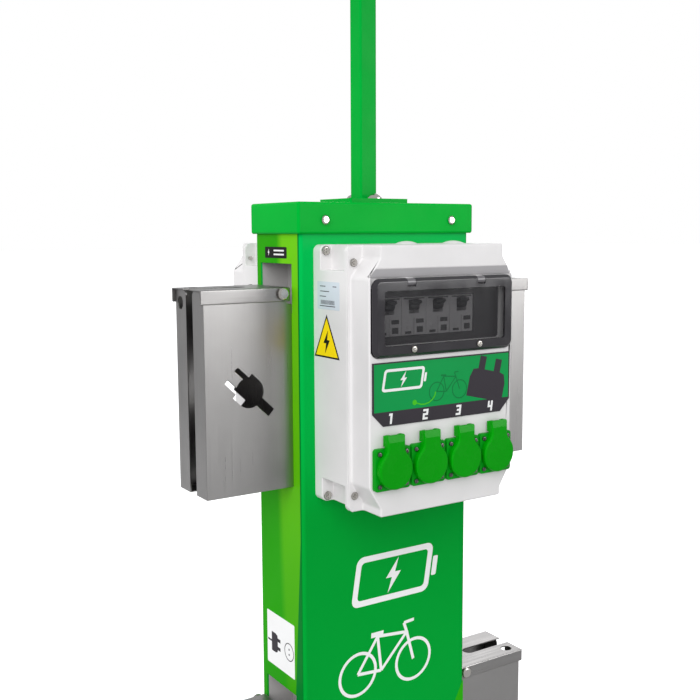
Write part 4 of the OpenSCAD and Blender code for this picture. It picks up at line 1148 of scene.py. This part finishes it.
BATTERY_Z, BICYCLE_Z = 0.652, 0.528
big = [[slanted(o, 0.16) for o in shape] for shape in battery(124, 66, 8)]
installed_pair(film("column_battery", big, on_column(0.008, BATTERY_Z)), white_ink, "column_paint")
ride_sign = [[slanted(o, 0.1) for o in shape] for shape in bicycle(150, 4.2)]
installed_pair(film("column_bicycle", ride_sign, on_column(-0.004, BICYCLE_Z)), white_ink,
               "column_paint")
sweep = [(129, 476), (129, 236), (92, 246), (64, 262), (50, 282), (53, 312), (70, 350), (92, 396),
         (114, 446)]
installed_pair(film("column_sweep", [[sweep]], on_column(0, 0)), lime_ink, "column_paint")
print("column graphics at", BATTERY_Z, "and", BICYCLE_Z, "m")

# %% Side stickers
STICKER = 0.0002                    # a sticker's thickness


def sticker(name, shapes, place, colour, slot, under=0.0, thick=FILM):
    """A film on a left side, raised by what lies under it, and its half-turned twin."""
    x, y, z = place
    installed_pair(film(name, shapes, side_place(x - under, y, z), thick), colour, slot)


RECESS_SIGN = (-SIDE, 0.0031, 1.0774)
sticker("recess_sticker", [[round_box(55, 14, 1.5)]], RECESS_SIGN, black_ink, "column_paint",
        thick=STICKER)
mark = [[moved(BOLT, -18, 0, 0.32)], [round_box(26, 2, 0.4, 8, 2.4)], [round_box(26, 2, 0.4, 8, -2.4)]]
sticker("recess_sticker_mark", mark, RECESS_SIGN, white_ink, "column_paint", STICKER)

GUIDE = (-SIDE, 0.0035, 0.569)
sticker("guide_sticker", [[round_box(72, 72, 1.5)]], GUIDE, white_ink, "column_paint", thick=STICKER)
plug_small = moved(PLUG, 0, 0, 0.42)
drawing = [[[(y - 16, -x - 4) for x, y in plug_small]],
           [arc(22, -4, 12, 0, 351, 39), arc(22, -4, 10.8, 0, 351, 39)],
           [arc(22, -0.5, 1.4, 0, 330, 11)], [arc(22, -7.5, 1.4, 0, 330, 11)],
           [bar(-34, -4, -24, -4, 2.4)]]
sticker("guide_sticker_drawing", drawing, GUIDE, dark_ink, "column_paint", STICKER)

RATING = (BASE_LOW.x, -0.0895, 1.0275)
sticker("rating_sticker", [[round_box(49, 33, 1)]], RATING, label_ink, "grey_plastic", thick=STICKER)
lines = [[round_box(w, 0.9, 0.2, x, y)]
         for x, y, w in ((-12, 11, 12), (14, 11, 8), (-8, 5, 20), (-12, -1, 14), (-2, -12.5, 34))]
lines += [[round_box(1.1, 5, 0.2, -16 + 2.6*k, -8)] for k in range(12)]
sticker("rating_sticker_lines", lines, RATING, dark_ink, "grey_plastic", STICKER)

LIVE = (BASE_LOW.x, -0.0853, 0.979)
tri = [(-28, -26), (28, -26), (0, 26)]
tri_in = [(-24.4, -23.9), (24.4, -23.9), (0, 21.6)]
sticker("live_sign_edge", [[tri]], LIVE, black_ink, "grey_plastic", thick=STICKER)
sticker("live_sign_field", [[tri_in]], LIVE, yellow_ink, "grey_plastic", STICKER)
sticker("live_sign_bolt", [[moved(BOLT, 0, -7, 1.0)]], LIVE, black_ink, "grey_plastic", STICKER + FILM)
print("stickers on each side: 4")
